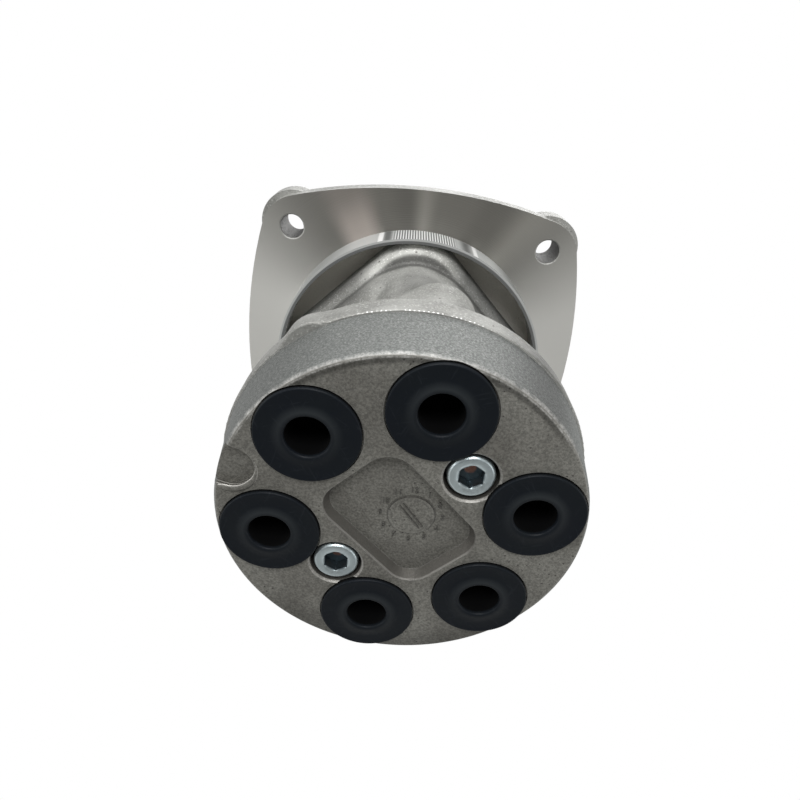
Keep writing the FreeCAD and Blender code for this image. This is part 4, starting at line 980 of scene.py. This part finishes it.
# %% Six plugs
PLUG_FLANGE = 10.75
PLUG_FACE = -84.8
PLUG_BACK = -83.3
PLUG_STEM = 5.8
PLUG_STEM_END = -74.8
PLUG_HOLE = 4.6
PLUG_HOLE_END = -76.4

plug_points = [(0, PLUG_HOLE_END), (PLUG_HOLE - 0.25, PLUG_HOLE_END),
               (PLUG_HOLE - 0.05, PLUG_FACE + 0.1), (PLUG_HOLE + 0.3, PLUG_FACE - 0.2),
               (PLUG_HOLE + 0.9, PLUG_FACE - 0.2), (PLUG_HOLE + 1.6, PLUG_FACE - 0.08),
               (PLUG_HOLE + 2.8, PLUG_FACE + 0.1), (PLUG_FLANGE - 1.4, PLUG_FACE + 0.1),
               (PLUG_FLANGE - 0.25, PLUG_FACE), (PLUG_FLANGE, PLUG_FACE + 0.25),
               (PLUG_FLANGE, PLUG_BACK), (PLUG_STEM + 0.1, PLUG_BACK),
               (PLUG_STEM, PLUG_STEM_END + 1), (PLUG_STEM - 0.6, PLUG_STEM_END),
               (0, PLUG_STEM_END)]
plug_radii = [0, 0.3, 0.3, 0.2, 0.4, 0.4, 0.6, 0.6, 0.2, 0.2, 0.1, 0.1, 0.2, 0.2, 0]
plug_line = rounded_line(plug_points, plug_radii)
RING_INNER, RING_MIDDLE, RING_OUTER = 4.6, 5.6, 7.2


def ring_share(point, centre):
    """How strongly a point of a plug's face shows the painted highlight on the soft ring: most
    towards the front, where the light falls.
    """
    away = Vector((point[0] / MM - centre.x, point[1] / MM - centre.y, 0))
    if point[2] / MM > PLUG_FACE + 0.4 or away.length < RING_INNER:
        return 0.0
    share = min((away.length - RING_INNER) / (RING_MIDDLE - RING_INNER),
                (RING_OUTER - away.length) / (RING_OUTER - RING_MIDDLE))
    return max(share, 0.0) * (0.55 - 0.45 * away.y / away.length)


for port, angle in PORT_ANGLES.items():
    centre = polar(PORT_CIRCLE, angle)
    points, faces = ring_mesh(plug_line, centre=centre)
    plug = make_piece("port_plug_" + port, points, faces, PLUG_PLASTIC, "plug_" + port,
                      "plug_plastic", "plug_" + port)
    tone = plug.data.attributes.new("ring_tone", "FLOAT", "POINT")
    tone.data.foreach_set("value", [ring_share(v.co, centre) for v in plug.data.vertices])
print("six plugs")

# %% [markdown]
# ## Plated steel
#
# Screws, nuts and pins are steel with a zinc skin: bright, a little blue, and softly
# blotched. Ground steel is cleaner and carries fine rings. Black steel is oxidised. They
# share one recipe with different numbers.

# %% Steel recipe
# painted shade inside the screw sockets
SOCKET_SHADE = (0.13, 0.165, 0.185, 1)
SOCKET_BROWN = (0.5, 0.26, 0.2, 1)
SOCKET_MOUTH = (3.0, 3.12)
SOCKET_TOP = (-83.6, -83.3)
SOCKET_BOTTOM = (-81.5, -80.8)


def steel(name, pale, dark, rough, metal=0.95, scratch=0.4, socket=False):
    """A plated, ground or blacked steel. Socket adds painted shade inside the plate screws'
    sockets and their brown floor.
    """
    material, tree, shader = start_material(name)
    grain = use_group(tree, CAST_GRAIN, Size=0.5, Pits=0.15)
    colour = mix_colours(grain["Patches"], dark, pale)
    bright = tuple(min(1.0, c * 1.25) for c in pale[:3]) + (1,)
    shine = maths("MAXIMUM", scratches(tree, 8.0, 0.4, scratch) * 0.5,
                  worn_edges(tree, 0.3, 0.5) * 0.6)
    colour = mix_colours(shine, colour, bright)
    if socket:
        from_axis = axis_distance(tree, SCREW_CIRCLE, turn=-SCREW_LINE)
        height = use_group(tree, PLACE)["Height"]
        # painted shade inside the socket
        inside = (1 - smooth_step(from_axis, *SOCKET_MOUTH)) * smooth_step(height, *SOCKET_TOP)
        colour = mix_colours(inside, colour, SOCKET_SHADE)
        bottom = (1 - smooth_step(from_axis, 1.0, 1.5)) * smooth_step(height, *SOCKET_BOTTOM)
        colour = mix_colours(bottom, colour, SOCKET_BROWN)
    fill(shader, {"Base Color": colour, "Roughness": grain["Tone"] * 0.14 + (rough - 0.07),
                  "Metallic": metal, "Normal": bumped(grain["Height"], 0.02)})
    return material


ZINC = steel("zinc_plated_screw", (0.76, 0.86, 0.89, 1), (0.6, 0.69, 0.72, 1), 0.38, socket=True)
PLATED = steel("clear_zinc", (0.72, 0.72, 0.68, 1), (0.52, 0.52, 0.48, 1), 0.36)
GROUND = steel("ground_steel", (0.66, 0.66, 0.66, 1), (0.55, 0.55, 0.55, 1), 0.22, scratch=0.2)
SPRING = steel("spring_wire", (0.42, 0.42, 0.44, 1), (0.28, 0.28, 0.3, 1), 0.35)
BLACKED = steel("black_oxide", (0.06, 0.06, 0.062, 1), (0.028, 0.028, 0.03, 1), 0.42, metal=0.7)
BRONZE = steel("bush_bronze", (0.66, 0.46, 0.22, 1), (0.46, 0.3, 0.13, 1), 0.34)
print("six steels and bronze")

# %% [markdown]
# ## Socket screws
#
# Two M6 socket-head screws hold the port plate and four tiny ones hold the boot's ring. The
# head is a turned drum with a bevelled rim, a countersunk mouth, six flats and a drill
# point at the bottom. One screw is laid as rings; Geometry Nodes then sets copies of it on a
# circle, with the count, the radius and the first angle as named inputs.

# %% A tree that sets copies on a circle
ring_tree, source, result = new_group("copies_on_a_circle", "GeometryNodeTree", [
    ("Piece", "NodeSocketObject"), ("Count", "NodeSocketInt", 4), ("Radius", FLOAT, 0.02),
    ("First angle", FLOAT, 0.0), ("Material", MATERIAL)], [("Geometry", GEOMETRY)])
spots = add_node(ring_tree, "GeometryNodePoints", {"Count": source["Count"]})
angle = given(ring_tree, "GeometryNodeInputIndex", 0) * (2 * math.pi / source["Count"])
angle = angle + source["First angle"]
place_now = add_node(ring_tree, "ShaderNodeCombineXYZ", {
    "X": maths("COSINE", angle) * source["Radius"], "Y": maths("SINE", angle) * source["Radius"]})
moved = add_node(ring_tree, "GeometryNodeSetPosition", {
    "Geometry": spots.outputs[0], "Position": place_now.outputs[0]})
original = add_node(ring_tree, "GeometryNodeObjectInfo", {"Object": source["Piece"]})
copies = add_node(ring_tree, "GeometryNodeInstanceOnPoints", {
    "Points": moved.outputs[0], "Instance": original.outputs["Geometry"]})
send_out(copies.outputs[0], source, result)


def copies_on_circle(name, rings, count, radius, first_angle, material, body, slot, *replaced):
    """Copies of one ring solid on a circle, as one plain mesh."""
    points, faces = ring_mesh(rings)
    pattern = make_piece(name + "_pattern", points, faces, material, None, slot)
    piece = grow(name, ring_tree, {
        "Piece": pattern, "Count": count, "Radius": radius * MM,
        "First angle": math.radians(first_angle), "Material": material})
    bpy.data.objects.remove(pattern)
    return dress(piece, body, slot, *replaced)


# %% Port plate screws
HEAD_Z = -83.7
HEAD_RADIUS = 5.0
HEAD_SEAT = -77.7
SHANK_END = -55.7
SOCKET_HALF = 2.5
SOCKET_FLOOR = -80.7

head_side = rounded_line([(SOCKET_HALF + 0.95, HEAD_Z), (HEAD_RADIUS - 0.5, HEAD_Z),
                          (HEAD_RADIUS, HEAD_Z + 0.5), (HEAD_RADIUS, HEAD_SEAT),
                          (3.3, HEAD_SEAT)], [0, 0.25, 0.3, 0.15, 0])
plate_screw_rings = [
    (0, SOCKET_FLOOR + 0.9), (SOCKET_HALF - 0.25, SOCKET_FLOOR, True),
    (SOCKET_HALF, SOCKET_FLOOR, True), (SOCKET_HALF, HEAD_Z + 0.38, True),
    (SOCKET_HALF + 0.42, HEAD_Z + 0.12), *head_side, (3.0, HEAD_SEAT + 0.3),
    (3.0, SHANK_END - 0.5), (2.5, SHANK_END), (0, SHANK_END)]
copies_on_circle("port_plate_screws", plate_screw_rings, 2, SCREW_CIRCLE, SCREW_LINE, ZINC,
                 "casing", "zinc_screw", "plate_screws")

# %% Boot ring screws
SMALL_TOP = 13.1
SMALL_SEAT = 11.5
SMALL_CIRCLE = 39.4
small_head = rounded_line([(1.1, SMALL_TOP), (1.8, SMALL_TOP), (2.2, SMALL_TOP - 0.55),
                           (2.2, SMALL_SEAT), (1.25, SMALL_SEAT)], [0, 0.3, 0.3, 0.1, 0])
small_rings = [(0, SMALL_TOP - 1.2), (0.8, SMALL_TOP - 0.8, True), (0.8, SMALL_TOP - 0.1, True),
               (0.98, SMALL_TOP), *small_head, (1.25, 3.8), (1.0, 3.5), (0, 3.5)]
copies_on_circle("boot_ring_screws", small_rings, 4, SMALL_CIRCLE, 0.0, ZINC, "casing",
                 "zinc_screw", "boot_screws")

# %% [markdown]
# ## The port plate
#
# The plate under the foot is a pressure casting with a finer, cooler skin. Its side is
# grey-green and sparkling. Its face was skimmed and then handled, so it is browner, with
# hair-thin scratches and small pits. Its rim carries a broken painted highlight along the
# front with a painted shadow inside it, the side has painted shade by the angle, and the
# walls have painted shade with painted highlights along their lips.

# %% Port plate finish
SIDE_PALE = (0.285, 0.295, 0.285, 1)
SIDE_DARK = (0.15, 0.158, 0.153, 1)
FACE_PALE = (0.268, 0.264, 0.24, 1)
FACE_DARK = (0.185, 0.18, 0.162, 1)
FACE_PIT = (0.06, 0.055, 0.05, 1)
# pale for the side's sparkle, the scratches and worn edges, and the rim's painted highlight
PALE_WEAR_AND_HIGHLIGHT = (0.45, 0.445, 0.43, 1)
# painted shade on steep walls, and painted highlights along their lips
WALL_SHADE = (0.105, 0.1, 0.09, 1)
LIP_HIGHLIGHT = (0.42, 0.41, 0.385, 1)
DIAL_SPOT = (2.3, -0.4)
DIAL_RINGS = ((4.95, 5.3, 0.42), (4.2, 4.45, 0.14), (5.5, 5.75, -0.1))
RIM_ZONE = (-153.0, -36.0, 8.0)
RIM_SHADOW_ZONE = (-142.0, -40.0, 9.0)
LIP_BAND = (-84.2, -83.62, 0.1)
SECOND_LINE = (-83.1, -82.85, 0.1)
NEAR_FACE = (-84.5, -83.1, 0.15)
RIM_SHADOW_BAND = (37.5, 38.6, 0.4)
BACK_EDGE = (30.0, 40.0)
PLATE_INSIDE = (38.9, 39.3)
NOTCH_INSIDE = (29.5, 30.5)
POCKET_INSIDE = (16.5, 17.5)
RIM_BAND = (38.55, 39.75, 0.12)
CHAMFER_BAND = (5.72, 6.3, 0.03)
FACE_HEIGHT = -84.0

PORT_PLATE, tree, shader = start_material("port_plate_casting")
place = use_group(tree, PLACE)
radius, height, angle, down = (place[k] for k in ("Radius", "Height", "Angle", "Downward"))
grain = use_group(tree, CAST_GRAIN, Size=0.42, Pits=0.9)
side = mix_colours(grain["Tone"], SIDE_DARK, SIDE_PALE)
side = mix_colours(smooth_step(grain["Tone"], 0.8, 1.0) * 0.3, side, PALE_WEAR_AND_HIGHLIGHT)
# painted shade on the side, by the angle round the valve
side = scaled(side, side_shade(angle))
face = mix_colours(grain["Patches"], FACE_DARK, FACE_PALE)
spot = given(tree, "ShaderNodeTexCoord", "Object")
speckle = noise(tree, Vector=spot, Scale=1900.0, Detail=2.0, Roughness=0.7)
face = scaled(face, smooth_step(speckle, 0.3, 0.7) * 0.55 + 0.72)
lines = scratches(tree, 5.0, 0.45, 0.5)
face = mix_colours(lines * 0.16, face, PALE_WEAR_AND_HIGHLIGHT)
face = mix_colours(grain["Pit"], face, FACE_PIT)
back_edge = smooth_step(maths("SINE", maths("RADIANS", angle)), 0.5, 0.95)
face = scaled(face, 1 - smooth_step(radius, *BACK_EDGE) * back_edge * 0.42)
from_dial = split(vector_maths("SUBTRACT", spot, tuple(c * MM for c in (*DIAL_SPOT, 0.0))))
from_dial = hypotenuse(from_dial["X"], from_dial["Y"]) / MM
for low, high, amount in DIAL_RINGS:
    ring = band(from_dial, low, high, 0.12) * (smooth_step(speckle, 0.3, 0.6) * 0.4 + 0.6)
    face = scaled(face, 1 - ring * amount)
colour = mix_colours(down, side, face)
print("port plate: side and face")

# %% Port plate walls and rim
steep = (1 - smooth_step(radius, *PLATE_INSIDE)) * (1 - down)
lip = band(height, *LIP_BAND)
patchy_highlight = smooth_step(speckle, 0.35, 0.65)
# painted shade on the steep walls of the notch, the pocket and the holes
colour = mix_colours(steep, colour, WALL_SHADE)
# painted highlights: lines along the notch's lip and wall, the pocket's lip and the screw holes'
# chamfers
notch_highlights = maths("MAXIMUM", lip, band(height, *SECOND_LINE))
colour = mix_colours(steep * smooth_step(radius, *NOTCH_INSIDE) * notch_highlights, colour, LIP_HIGHLIGHT)
pocket_lip_highlight = steep * lip * (1 - smooth_step(radius, *POCKET_INSIDE))
colour = mix_colours(pocket_lip_highlight * 0.4, colour, LIP_HIGHLIGHT)
chamfer_highlight = band(axis_distance(tree, SCREW_CIRCLE, turn=-SCREW_LINE), *CHAMFER_BAND)
chamfer_highlight = chamfer_highlight * lip * (1 - down) * (patchy_highlight * 0.5 + 0.35)
colour = mix_colours(chamfer_highlight, colour, LIP_HIGHLIGHT)
# painted shadow inside the rim, along its front
painted_rim_shadow = band(radius, *RIM_SHADOW_BAND) * band(angle, *RIM_SHADOW_ZONE) * down
colour = scaled(colour, 1 - painted_rim_shadow * 0.5)
# painted highlight along the rim's front, broken up in patches by the noises below
rubbed = smooth_step(line_noise(angle * 0.25, 4.0), 0.2, 0.6)
circles = smooth_step(line_noise(radius * 3.4, 2.0), 0.3, 0.55)
worn = circles * rubbed * (patchy_highlight * 0.75 + 0.25)
rim = band(radius, *RIM_BAND) * band(height, *NEAR_FACE) * band(angle, *RIM_ZONE) * worn
colour = mix_colours(rim, colour, PALE_WEAR_AND_HIGHLIGHT)
colour = mix_colours(worn_edges(tree, 0.4, 0.6) * 0.3, colour, PALE_WEAR_AND_HIGHLIGHT)
fill(shader, {"Base Color": colour, "Roughness": 0.6 - grain["Tone"] * 0.12, "Metallic": 0.6,
              "Normal": bumped(grain["Height"] - lines * 0.3, 0.1)})
nodes["port_plate"].material_slots[0].material = PORT_PLATE
print("port plate dressed")

# %% The notch's raised lip
NOTCH_ANGLE = -163.5
NOTCH_CENTRE = 37.0
LIP_REACH = 5.35
LIP_HALF = 0.75
LIP_STAND = 0.42
LIP_STEPS = 10

lip_path = [(38.3, -LIP_REACH), (37.7, -LIP_REACH), (NOTCH_CENTRE, -LIP_REACH)]
lip_path += [(NOTCH_CENTRE - LIP_REACH * math.sin(math.radians(t)),
              -LIP_REACH * math.cos(math.radians(t))) for t in range(8, 129, 8)]
lip_points = []
notch_turn = Matrix.Rotation(math.radians(NOTCH_ANGLE), 3, "Z")
for k, (u, v) in enumerate(lip_path):
    outward = Vector((min(u - NOTCH_CENTRE, 0), v, 0)).normalized()
    fade = max(0.02, min(1.0, (k + 0.4) / 2, (len(lip_path) - 1 - k) / 8))
    for n in range(LIP_STEPS):
        turn = 2 * math.pi * n / LIP_STEPS
        spot = Vector((u, v, FACE_HEIGHT)) + outward * LIP_HALF * fade * math.cos(turn)
        spot.z += LIP_STAND * fade * math.sin(turn)
        lip_points.append(notch_turn @ spot * MM)
make_piece("notch_lip", lip_points, tube_faces(len(lip_path), LIP_STEPS), PORT_PLATE, "casing",
           "machined_aluminium")
print("notch lip")

# %% [markdown]
# ## A plain dial in the pocket
#
# Foundries leave a small round insert in a mould, with a pointer and the numbers 1 to 12
# round it. Each number is a text curve turned into a mesh. It is set face down, since the
# plate is read from below, and it stands a quarter of a millimetre proud of the pocket.

# %% Dial numbers and pointer
POCKET_FLOOR = -81.5
DIAL_CENTRE = Vector((*DIAL_SPOT, 0))
DIAL_TOP = -81.9
NUMBER_CIRCLE = 6.7
NUMBER_HEIGHT = 1.9
NUMBER_STAND = 0.25
# how much darker the dial marks are painted, as painted shade
MARK_SHADE_FACTOR = 0.55
DIAL_TURN = 51.0
POINTER_HALF = 7.6
POINTER_GAP = 0.45

dial_work = bmesh.new()
face_down = Matrix.Rotation(math.pi, 4, "X")
for number in range(1, 13):
    curve = bpy.data.curves.new(f"number_{number}", "FONT")
    curve.body = str(number)
    curve.size = NUMBER_HEIGHT * MM
    curve.extrude = NUMBER_STAND * MM
    curve.align_x, curve.align_y = "CENTER", "CENTER"
    curve.resolution_u = 3
    writing = new_object(curve.name, curve)
    bpy.context.view_layer.update()
    letters = bpy.data.meshes.new_from_object(writing.evaluated_get(
        bpy.context.evaluated_depsgraph_get()))
    bpy.data.objects.remove(writing)
    place_on_dial = DIAL_CENTRE + polar(NUMBER_CIRCLE, 30 * number - 90, POCKET_FLOOR)
    letters.transform(Matrix.Translation(place_on_dial * MM) @ face_down)
    dial_work.from_mesh(letters)
for side in (-1, 1):
    bar = bmesh.ops.create_cube(dial_work, size=MM)["verts"]
    shape = Matrix.Diagonal((POINTER_HALF, 0.25, 0.4, 1))
    across = Matrix.Translation(Vector((0, side * POINTER_GAP, 0)) * MM)
    turn = Matrix.Rotation(math.radians(DIAL_TURN), 4, "Z")
    seat = Matrix.Translation((DIAL_CENTRE + Vector((0, 0, DIAL_TOP))) * MM)
    bmesh.ops.transform(dial_work, matrix=seat @ turn @ across @ shape, verts=bar)
bmesh.ops.remove_doubles(dial_work, verts=dial_work.verts, dist=1e-8)
bmesh.ops.recalc_face_normals(dial_work, faces=dial_work.faces)
dial_mesh = bpy.data.meshes.new("dial_marks")
dial_work.to_mesh(dial_mesh)
dial_work.free()
dial_mesh.materials.clear()
# painted shade: the marks are coloured darker than the face, standing in for the shade round their
# raised edges
DIAL_MARK_SHADE = PORT_PLATE.copy()
DIAL_MARK_SHADE.name = "dial_marks"
mark_shader = next(n for n in DIAL_MARK_SHADE.node_tree.nodes if n.type == "BSDF_PRINCIPLED")
plain_colour = mark_shader.inputs["Base Color"].links[0].from_socket
fill(mark_shader, {"Base Color": scaled(plain_colour, MARK_SHADE_FACTOR)})
dial_mesh.materials.append(DIAL_MARK_SHADE)
dial_marks = new_object("dial_marks", dial_mesh)
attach(dial_marks, "casing")
print("dial marks", len(dial_mesh.polygons), "faces")

# %% [markdown]
# ## The rubber boot
#
# The boot is moulded rubber: a flat base under its ring, four soft folds and a neck that
# grips the lever. The lever tilts about one point in four one-sided joints. The boot is made
# as four stacked rings and a neck ring; the neck ring is set on the lever, and the four rings
# stay where they are. The outline is one smooth wave on a falling line, offset to both sides
# for the wall.

# %% Boot rubber
RUBBER_DARK = (0.014, 0.014, 0.015, 1)
RUBBER_DUST = (0.06, 0.058, 0.055, 1)


def rubber(name, rough, dust):
    """Moulded rubber with a share of dust in its hollows."""
    material, tree, shader = start_material(name)
    grain = use_group(tree, CAST_GRAIN, Size=0.7, Pits=0.2)
    colour = mix_colours(smooth_step(grain["Patches"], 0.4, 1.0) * dust, RUBBER_DARK, RUBBER_DUST)
    colour = mix_colours(scratches(tree, 6.0, 0.7, 0.4) * 0.3, colour, RUBBER_DUST)
    fill(shader, {"Base Color": colour, "Roughness": grain["Tone"] * 0.12 + rough,
                  "Normal": bumped(grain["Height"], 0.04)})
    return material


BOOT_RUBBER = rubber("boot_rubber_skin", 0.52, 0.6)
SEAL_RUBBER = rubber("seal_rubber_skin", 0.4, 0.2)
print("rubbers ready")

# %% Boot rings
BOOT_BASE_Z = 7.5
BOOT_BASE_TOP = 9.5
BOOT_BASE_INNER = 33.0
BOOT_BASE_OUTER = 42.0
BOOT_SHOULDER = 34.0
BOOT_FOLD_START = 13.5
BOOT_NECK_Z = 51.0
BOOT_TOP_Z = 58.0
BOOT_NECK = 9.6
BOOT_HALF_WALL = 0.8
BOOT_FOLDS = 4
FOLD_HALF_DEPTH = 2.0
BOOT_SEAMS = (23.5, 28.5, 35.5, 43.0)
BOOT_STEPS = 96
WALL_STEPS = 150


def boot_middle(height):
    """Radius of the boot's middle line at a height."""
    share = min(max((height - BOOT_FOLD_START) / (BOOT_NECK_Z - BOOT_FOLD_START), 0.0), 1.0)
    line = BOOT_SHOULDER + (BOOT_NECK - BOOT_SHOULDER) * share**1.6
    fade = min(1.0, (1.0 - share) * 8) * min(1.0, max(height - BOOT_BASE_TOP, 0.0) / 3.0)
    wave = math.cos(2 * math.pi * BOOT_FOLDS * share) * FOLD_HALF_DEPTH * (1 - share / 2)
    return line + wave * fade


heights = np.linspace(BOOT_BASE_TOP - 0.6, BOOT_TOP_Z, WALL_STEPS)
middle = np.array([(boot_middle(z), z) for z in heights])
run = np.gradient(middle, axis=0)
run /= np.linalg.norm(run, axis=1)[:, None]
side_way = np.stack([run[:, 1], -run[:, 0]], axis=1)
boot_outside = middle + side_way * BOOT_HALF_WALL
boot_inside = middle - side_way * BOOT_HALF_WALL


def boot_ring(name, low, high, base):
    """One stacked ring of the boot, closed at both ends."""
    chosen = [k for k, z in enumerate(heights) if low - 1e-9 <= z <= high + 1e-9]
    outside = [tuple(boot_outside[k]) for k in chosen]
    inside = [tuple(boot_inside[k]) for k in reversed(chosen)]
    loop = outside + inside
    if base:
        foot = rounded_line([
            (BOOT_BASE_INNER, BOOT_BASE_TOP - 1.0), (BOOT_BASE_INNER, BOOT_BASE_Z),
            (BOOT_BASE_OUTER, BOOT_BASE_Z), (BOOT_BASE_OUTER, BOOT_BASE_TOP),
            (BOOT_SHOULDER + 1.4, BOOT_BASE_TOP)], [0, 0.3, 0.3, 0.3, 0])
        loop = foot + outside[4:] + inside[:-4]
    points, faces = ring_mesh(loop, closed=True, steps=BOOT_STEPS)
    return make_piece(name, points, faces, BOOT_RUBBER, None, "boot_rubber")


seam_heights = [heights[np.argmin(abs(heights - z))] for z in BOOT_SEAMS]
edges_low = [heights[0]] + seam_heights
edges_high = seam_heights + [heights[-1]]
for k, (low, high) in enumerate(zip(edges_low, edges_high)):
    ring = boot_ring(f"boot_ring_{k + 1}" if k < 4 else "boot_neck", low, high, k == 0)
    if k < 4:
        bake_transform(ring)
    else:
        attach(ring, "lever")
    if k == 0:
        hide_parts("boot")
print("boot rings", len(edges_low))

# %% [markdown]
# ## The lever's stub and its nuts
#
# The stub ends in an M10 thread for the grip, with a jam nut on it. A thread is a ridge that
# climbs one pitch each turn. Geometry Nodes can say so in one formula: a grid is rolled into
# a tube, and each point's radius follows the phase of its height minus its angle.

# %% Thread
THREAD_RADIUS = 5.0
THREAD_PITCH = 1.5
THREAD_LOW = 62.2
THREAD_HIGH = 80.0
THREAD_TAPER = 1.4

thread_tree, source, result = new_group("thread", "GeometryNodeTree", [
    ("Radius", FLOAT, THREAD_RADIUS), ("Pitch", FLOAT, THREAD_PITCH), ("Low", FLOAT, THREAD_LOW),
    ("High", FLOAT, THREAD_HIGH), ("Material", MATERIAL)], [("Geometry", GEOMETRY)])
grid = add_node(thread_tree, "GeometryNodeMeshGrid", {
    "Size X": 1.0, "Size Y": 1.0, "Vertices X": 73, "Vertices Y": 150})
corner = split(given(thread_tree, "GeometryNodeInputPosition", 0))
round_share, rise_share = corner["X"] + 0.5, corner["Y"] + 0.5
height = rise_share * (source["High"] - source["Low"]) + source["Low"]
phase = maths("FRACT", height / source["Pitch"] - round_share)
ridge = smooth_step(abs(phase - 0.5) * 2.0, 0.12, 0.92)
start_cut = maths("MAXIMUM", height - (source["High"] - THREAD_TAPER * 0.8), 0.0)
reach = source["Radius"] - maths("MAXIMUM", ridge * (source["Pitch"] * 0.58), start_cut)
turn = round_share * (2 * math.pi)
rolled = add_node(thread_tree, "ShaderNodeCombineXYZ", {
    "X": reach * MM * maths("COSINE", turn), "Y": reach * MM * maths("SINE", turn),
    "Z": height * MM})
thread_set = add_node(thread_tree, "GeometryNodeSetPosition", {
    "Geometry": grid.outputs["Mesh"], "Position": rolled.outputs[0]})
thread_join = add_node(thread_tree, "GeometryNodeMergeByDistance", {
    "Geometry": thread_set.outputs[0], "Distance": 1e-6})
send_out(thread_join.outputs[0], source, result)

lever_thread = grow("lever_thread", thread_tree, {
    "Radius": THREAD_RADIUS, "Pitch": THREAD_PITCH, "Low": THREAD_LOW, "High": THREAD_HIGH,
    "Material": PLATED})
work = bmesh.new()
work.from_mesh(lever_thread.data)
rims = [e for e in work.edges if e.is_boundary]
bmesh.ops.holes_fill(work, edges=rims, sides=0)
bmesh.ops.recalc_face_normals(work, faces=work.faces)
work.to_mesh(lever_thread.data)
work.free()
lever_thread.data.shade_smooth()
lever_thread.data.set_sharp_from_angle(angle=SHARP_ANGLE)
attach(lever_thread, "lever")
print("thread closed at both ends")

# %% Lever and nuts
HEX_BOTTOM, HEX_TOP, SLEEVE_TOP, NECK_TOP = 36.0, 44.0, 60.0, 62.6
LEVER_BORE, LEVER_BORE_TOP = 6.02, 49.0
NUT_BEVEL = 0.45
sleeve = rounded_line([(8.5, HEX_TOP), (8.5, SLEEVE_TOP), (4.2, NECK_TOP), (0, NECK_TOP)],
                      [0, 0.6, 0.4, 0])
lever_rings = [
    (0, LEVER_BORE_TOP), (LEVER_BORE, LEVER_BORE_TOP), (LEVER_BORE, HEX_BOTTOM),
    (8.9, HEX_BOTTOM), (9.5, HEX_BOTTOM + 0.4, True), (9.5, HEX_TOP - 0.4, True),
    (9.1, HEX_TOP), *sleeve]
points, faces = ring_mesh(lever_rings)
make_piece("lever_stub", points, faces, PLATED, "lever", "plated_steel", "lever")


def nut_rings(flat_half, bore, low, high):
    """A hexagon nut with bevelled corners and a countersunk bore."""
    return [(bore, low + 0.5), (bore + 0.5, low), (flat_half - 0.35, low),
            (flat_half, low + NUT_BEVEL, True), (flat_half, high - NUT_BEVEL, True),
            (flat_half - 0.35, high), (bore + 0.5, high), (bore, high - 0.5)]


points, faces = ring_mesh(nut_rings(8.5, 5.02, 63.5, 69.5), closed=True)
make_piece("jam_nut", points, faces, ZINC, "lever", "zinc_screw", "grip_nut")
points, faces = ring_mesh(nut_rings(9.5, 6.02, 30.0, 36.0), closed=True)
make_piece("plate_lock_nut", points, faces, PLATED, "lever", "plated_steel", "plate_nut")
print("lever and two nuts")

# %% [markdown]
# ## The springs
#
# A pressed plunger shortens both springs under it. Each spring here is wound again from the
# same sizes at its standing length. The control spring stands on the spool, which moves down
# a little itself, and is set on the spool's body; the return spring stays with the casing.

# %% Wind the springs
UNIT_CIRCLE = 22.5
SPRING_TOP = -16.0
SPOOL_TRAVEL = 2.0
SPRING_END_GAP = 0.1
WIRE_POINTS, WINDING_STEPS = 14, 40
spring_kinds = {      # kind: reach, wire, floor, how far the floor sinks
    "return_spring": (6.3, 1.2, -38.0, 0.0), "control_spring": (4.4, 0.9, -34.0, SPOOL_TRAVEL)}


def wind(centre, reach, wire, low, high, turns=5.5):
    """A round wire wound upwards between two heights, closed at both ends."""
    start, rise = low + wire / 2 + SPRING_END_GAP, high - low - wire - 2 * SPRING_END_GAP
    count = int(turns * WINDING_STEPS)
    points = []
    for k in range(count + 1):
        turn = 2 * math.pi * turns * k / count
        for n in range(WIRE_POINTS):
            roll = 2 * math.pi * n / WIRE_POINTS
            away = reach + wire / 2 * math.cos(roll)
            points.append(Vector((centre.x + away * math.cos(turn),
                                  centre.y + away * math.sin(turn),
                                  start + rise * k / count + wire / 2 * math.sin(roll))) * MM)
    return points, tube_faces(count + 1, WIRE_POINTS)


for unit, angle in UNIT_ANGLES.items():
    for kind, (reach, wire, floor, sink) in spring_kinds.items():
        points, faces = wind(polar(UNIT_CIRCLE, angle), reach, wire, floor, SPRING_TOP)
        body = "spool_" + unit if sink else "casing"
        coil = make_piece("wound_%s_%s" % (kind, unit), points, faces, SPRING, body,
                          "spring_steel", "%s_%s" % (kind, unit))
        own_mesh(coil)
print("eight springs wound")

# %% [markdown]
# ## The parts that stay as they are
#
# The rest of the solids already have the right shape: spools, plungers, seals and the
# universal joint. They only need the right finish, given by kind.

# %% Finishes by kind
finish_by_kind = {
    "joint_seals": SEAL_RUBBER, "bush_seals": SEAL_RUBBER, "plunger_wipers": SEAL_RUBBER,
    "retainer_plate": PLATED, "joint_fork": BLACKED, "lower_pivot_pin": GROUND,
    "cross_block": BLACKED, "upper_pivot_pins": GROUND, "lever_yoke": PLATED,
    "actuating_plate": BLACKED, "boot_ring": BLACKED, "boot_clip": ZINC,
    "guide_bush": BRONZE, "plunger": GROUND, "spring_seat": PLATED, "spool": GROUND}
finished = 0
for name, thing in nodes.items():
    kind = name if name in finish_by_kind else name.rsplit("_", 1)[0]
    if kind in finish_by_kind:
        finished += 1
        for holder in thing.material_slots:
            holder.material = finish_by_kind[kind]
print("finished", finished)
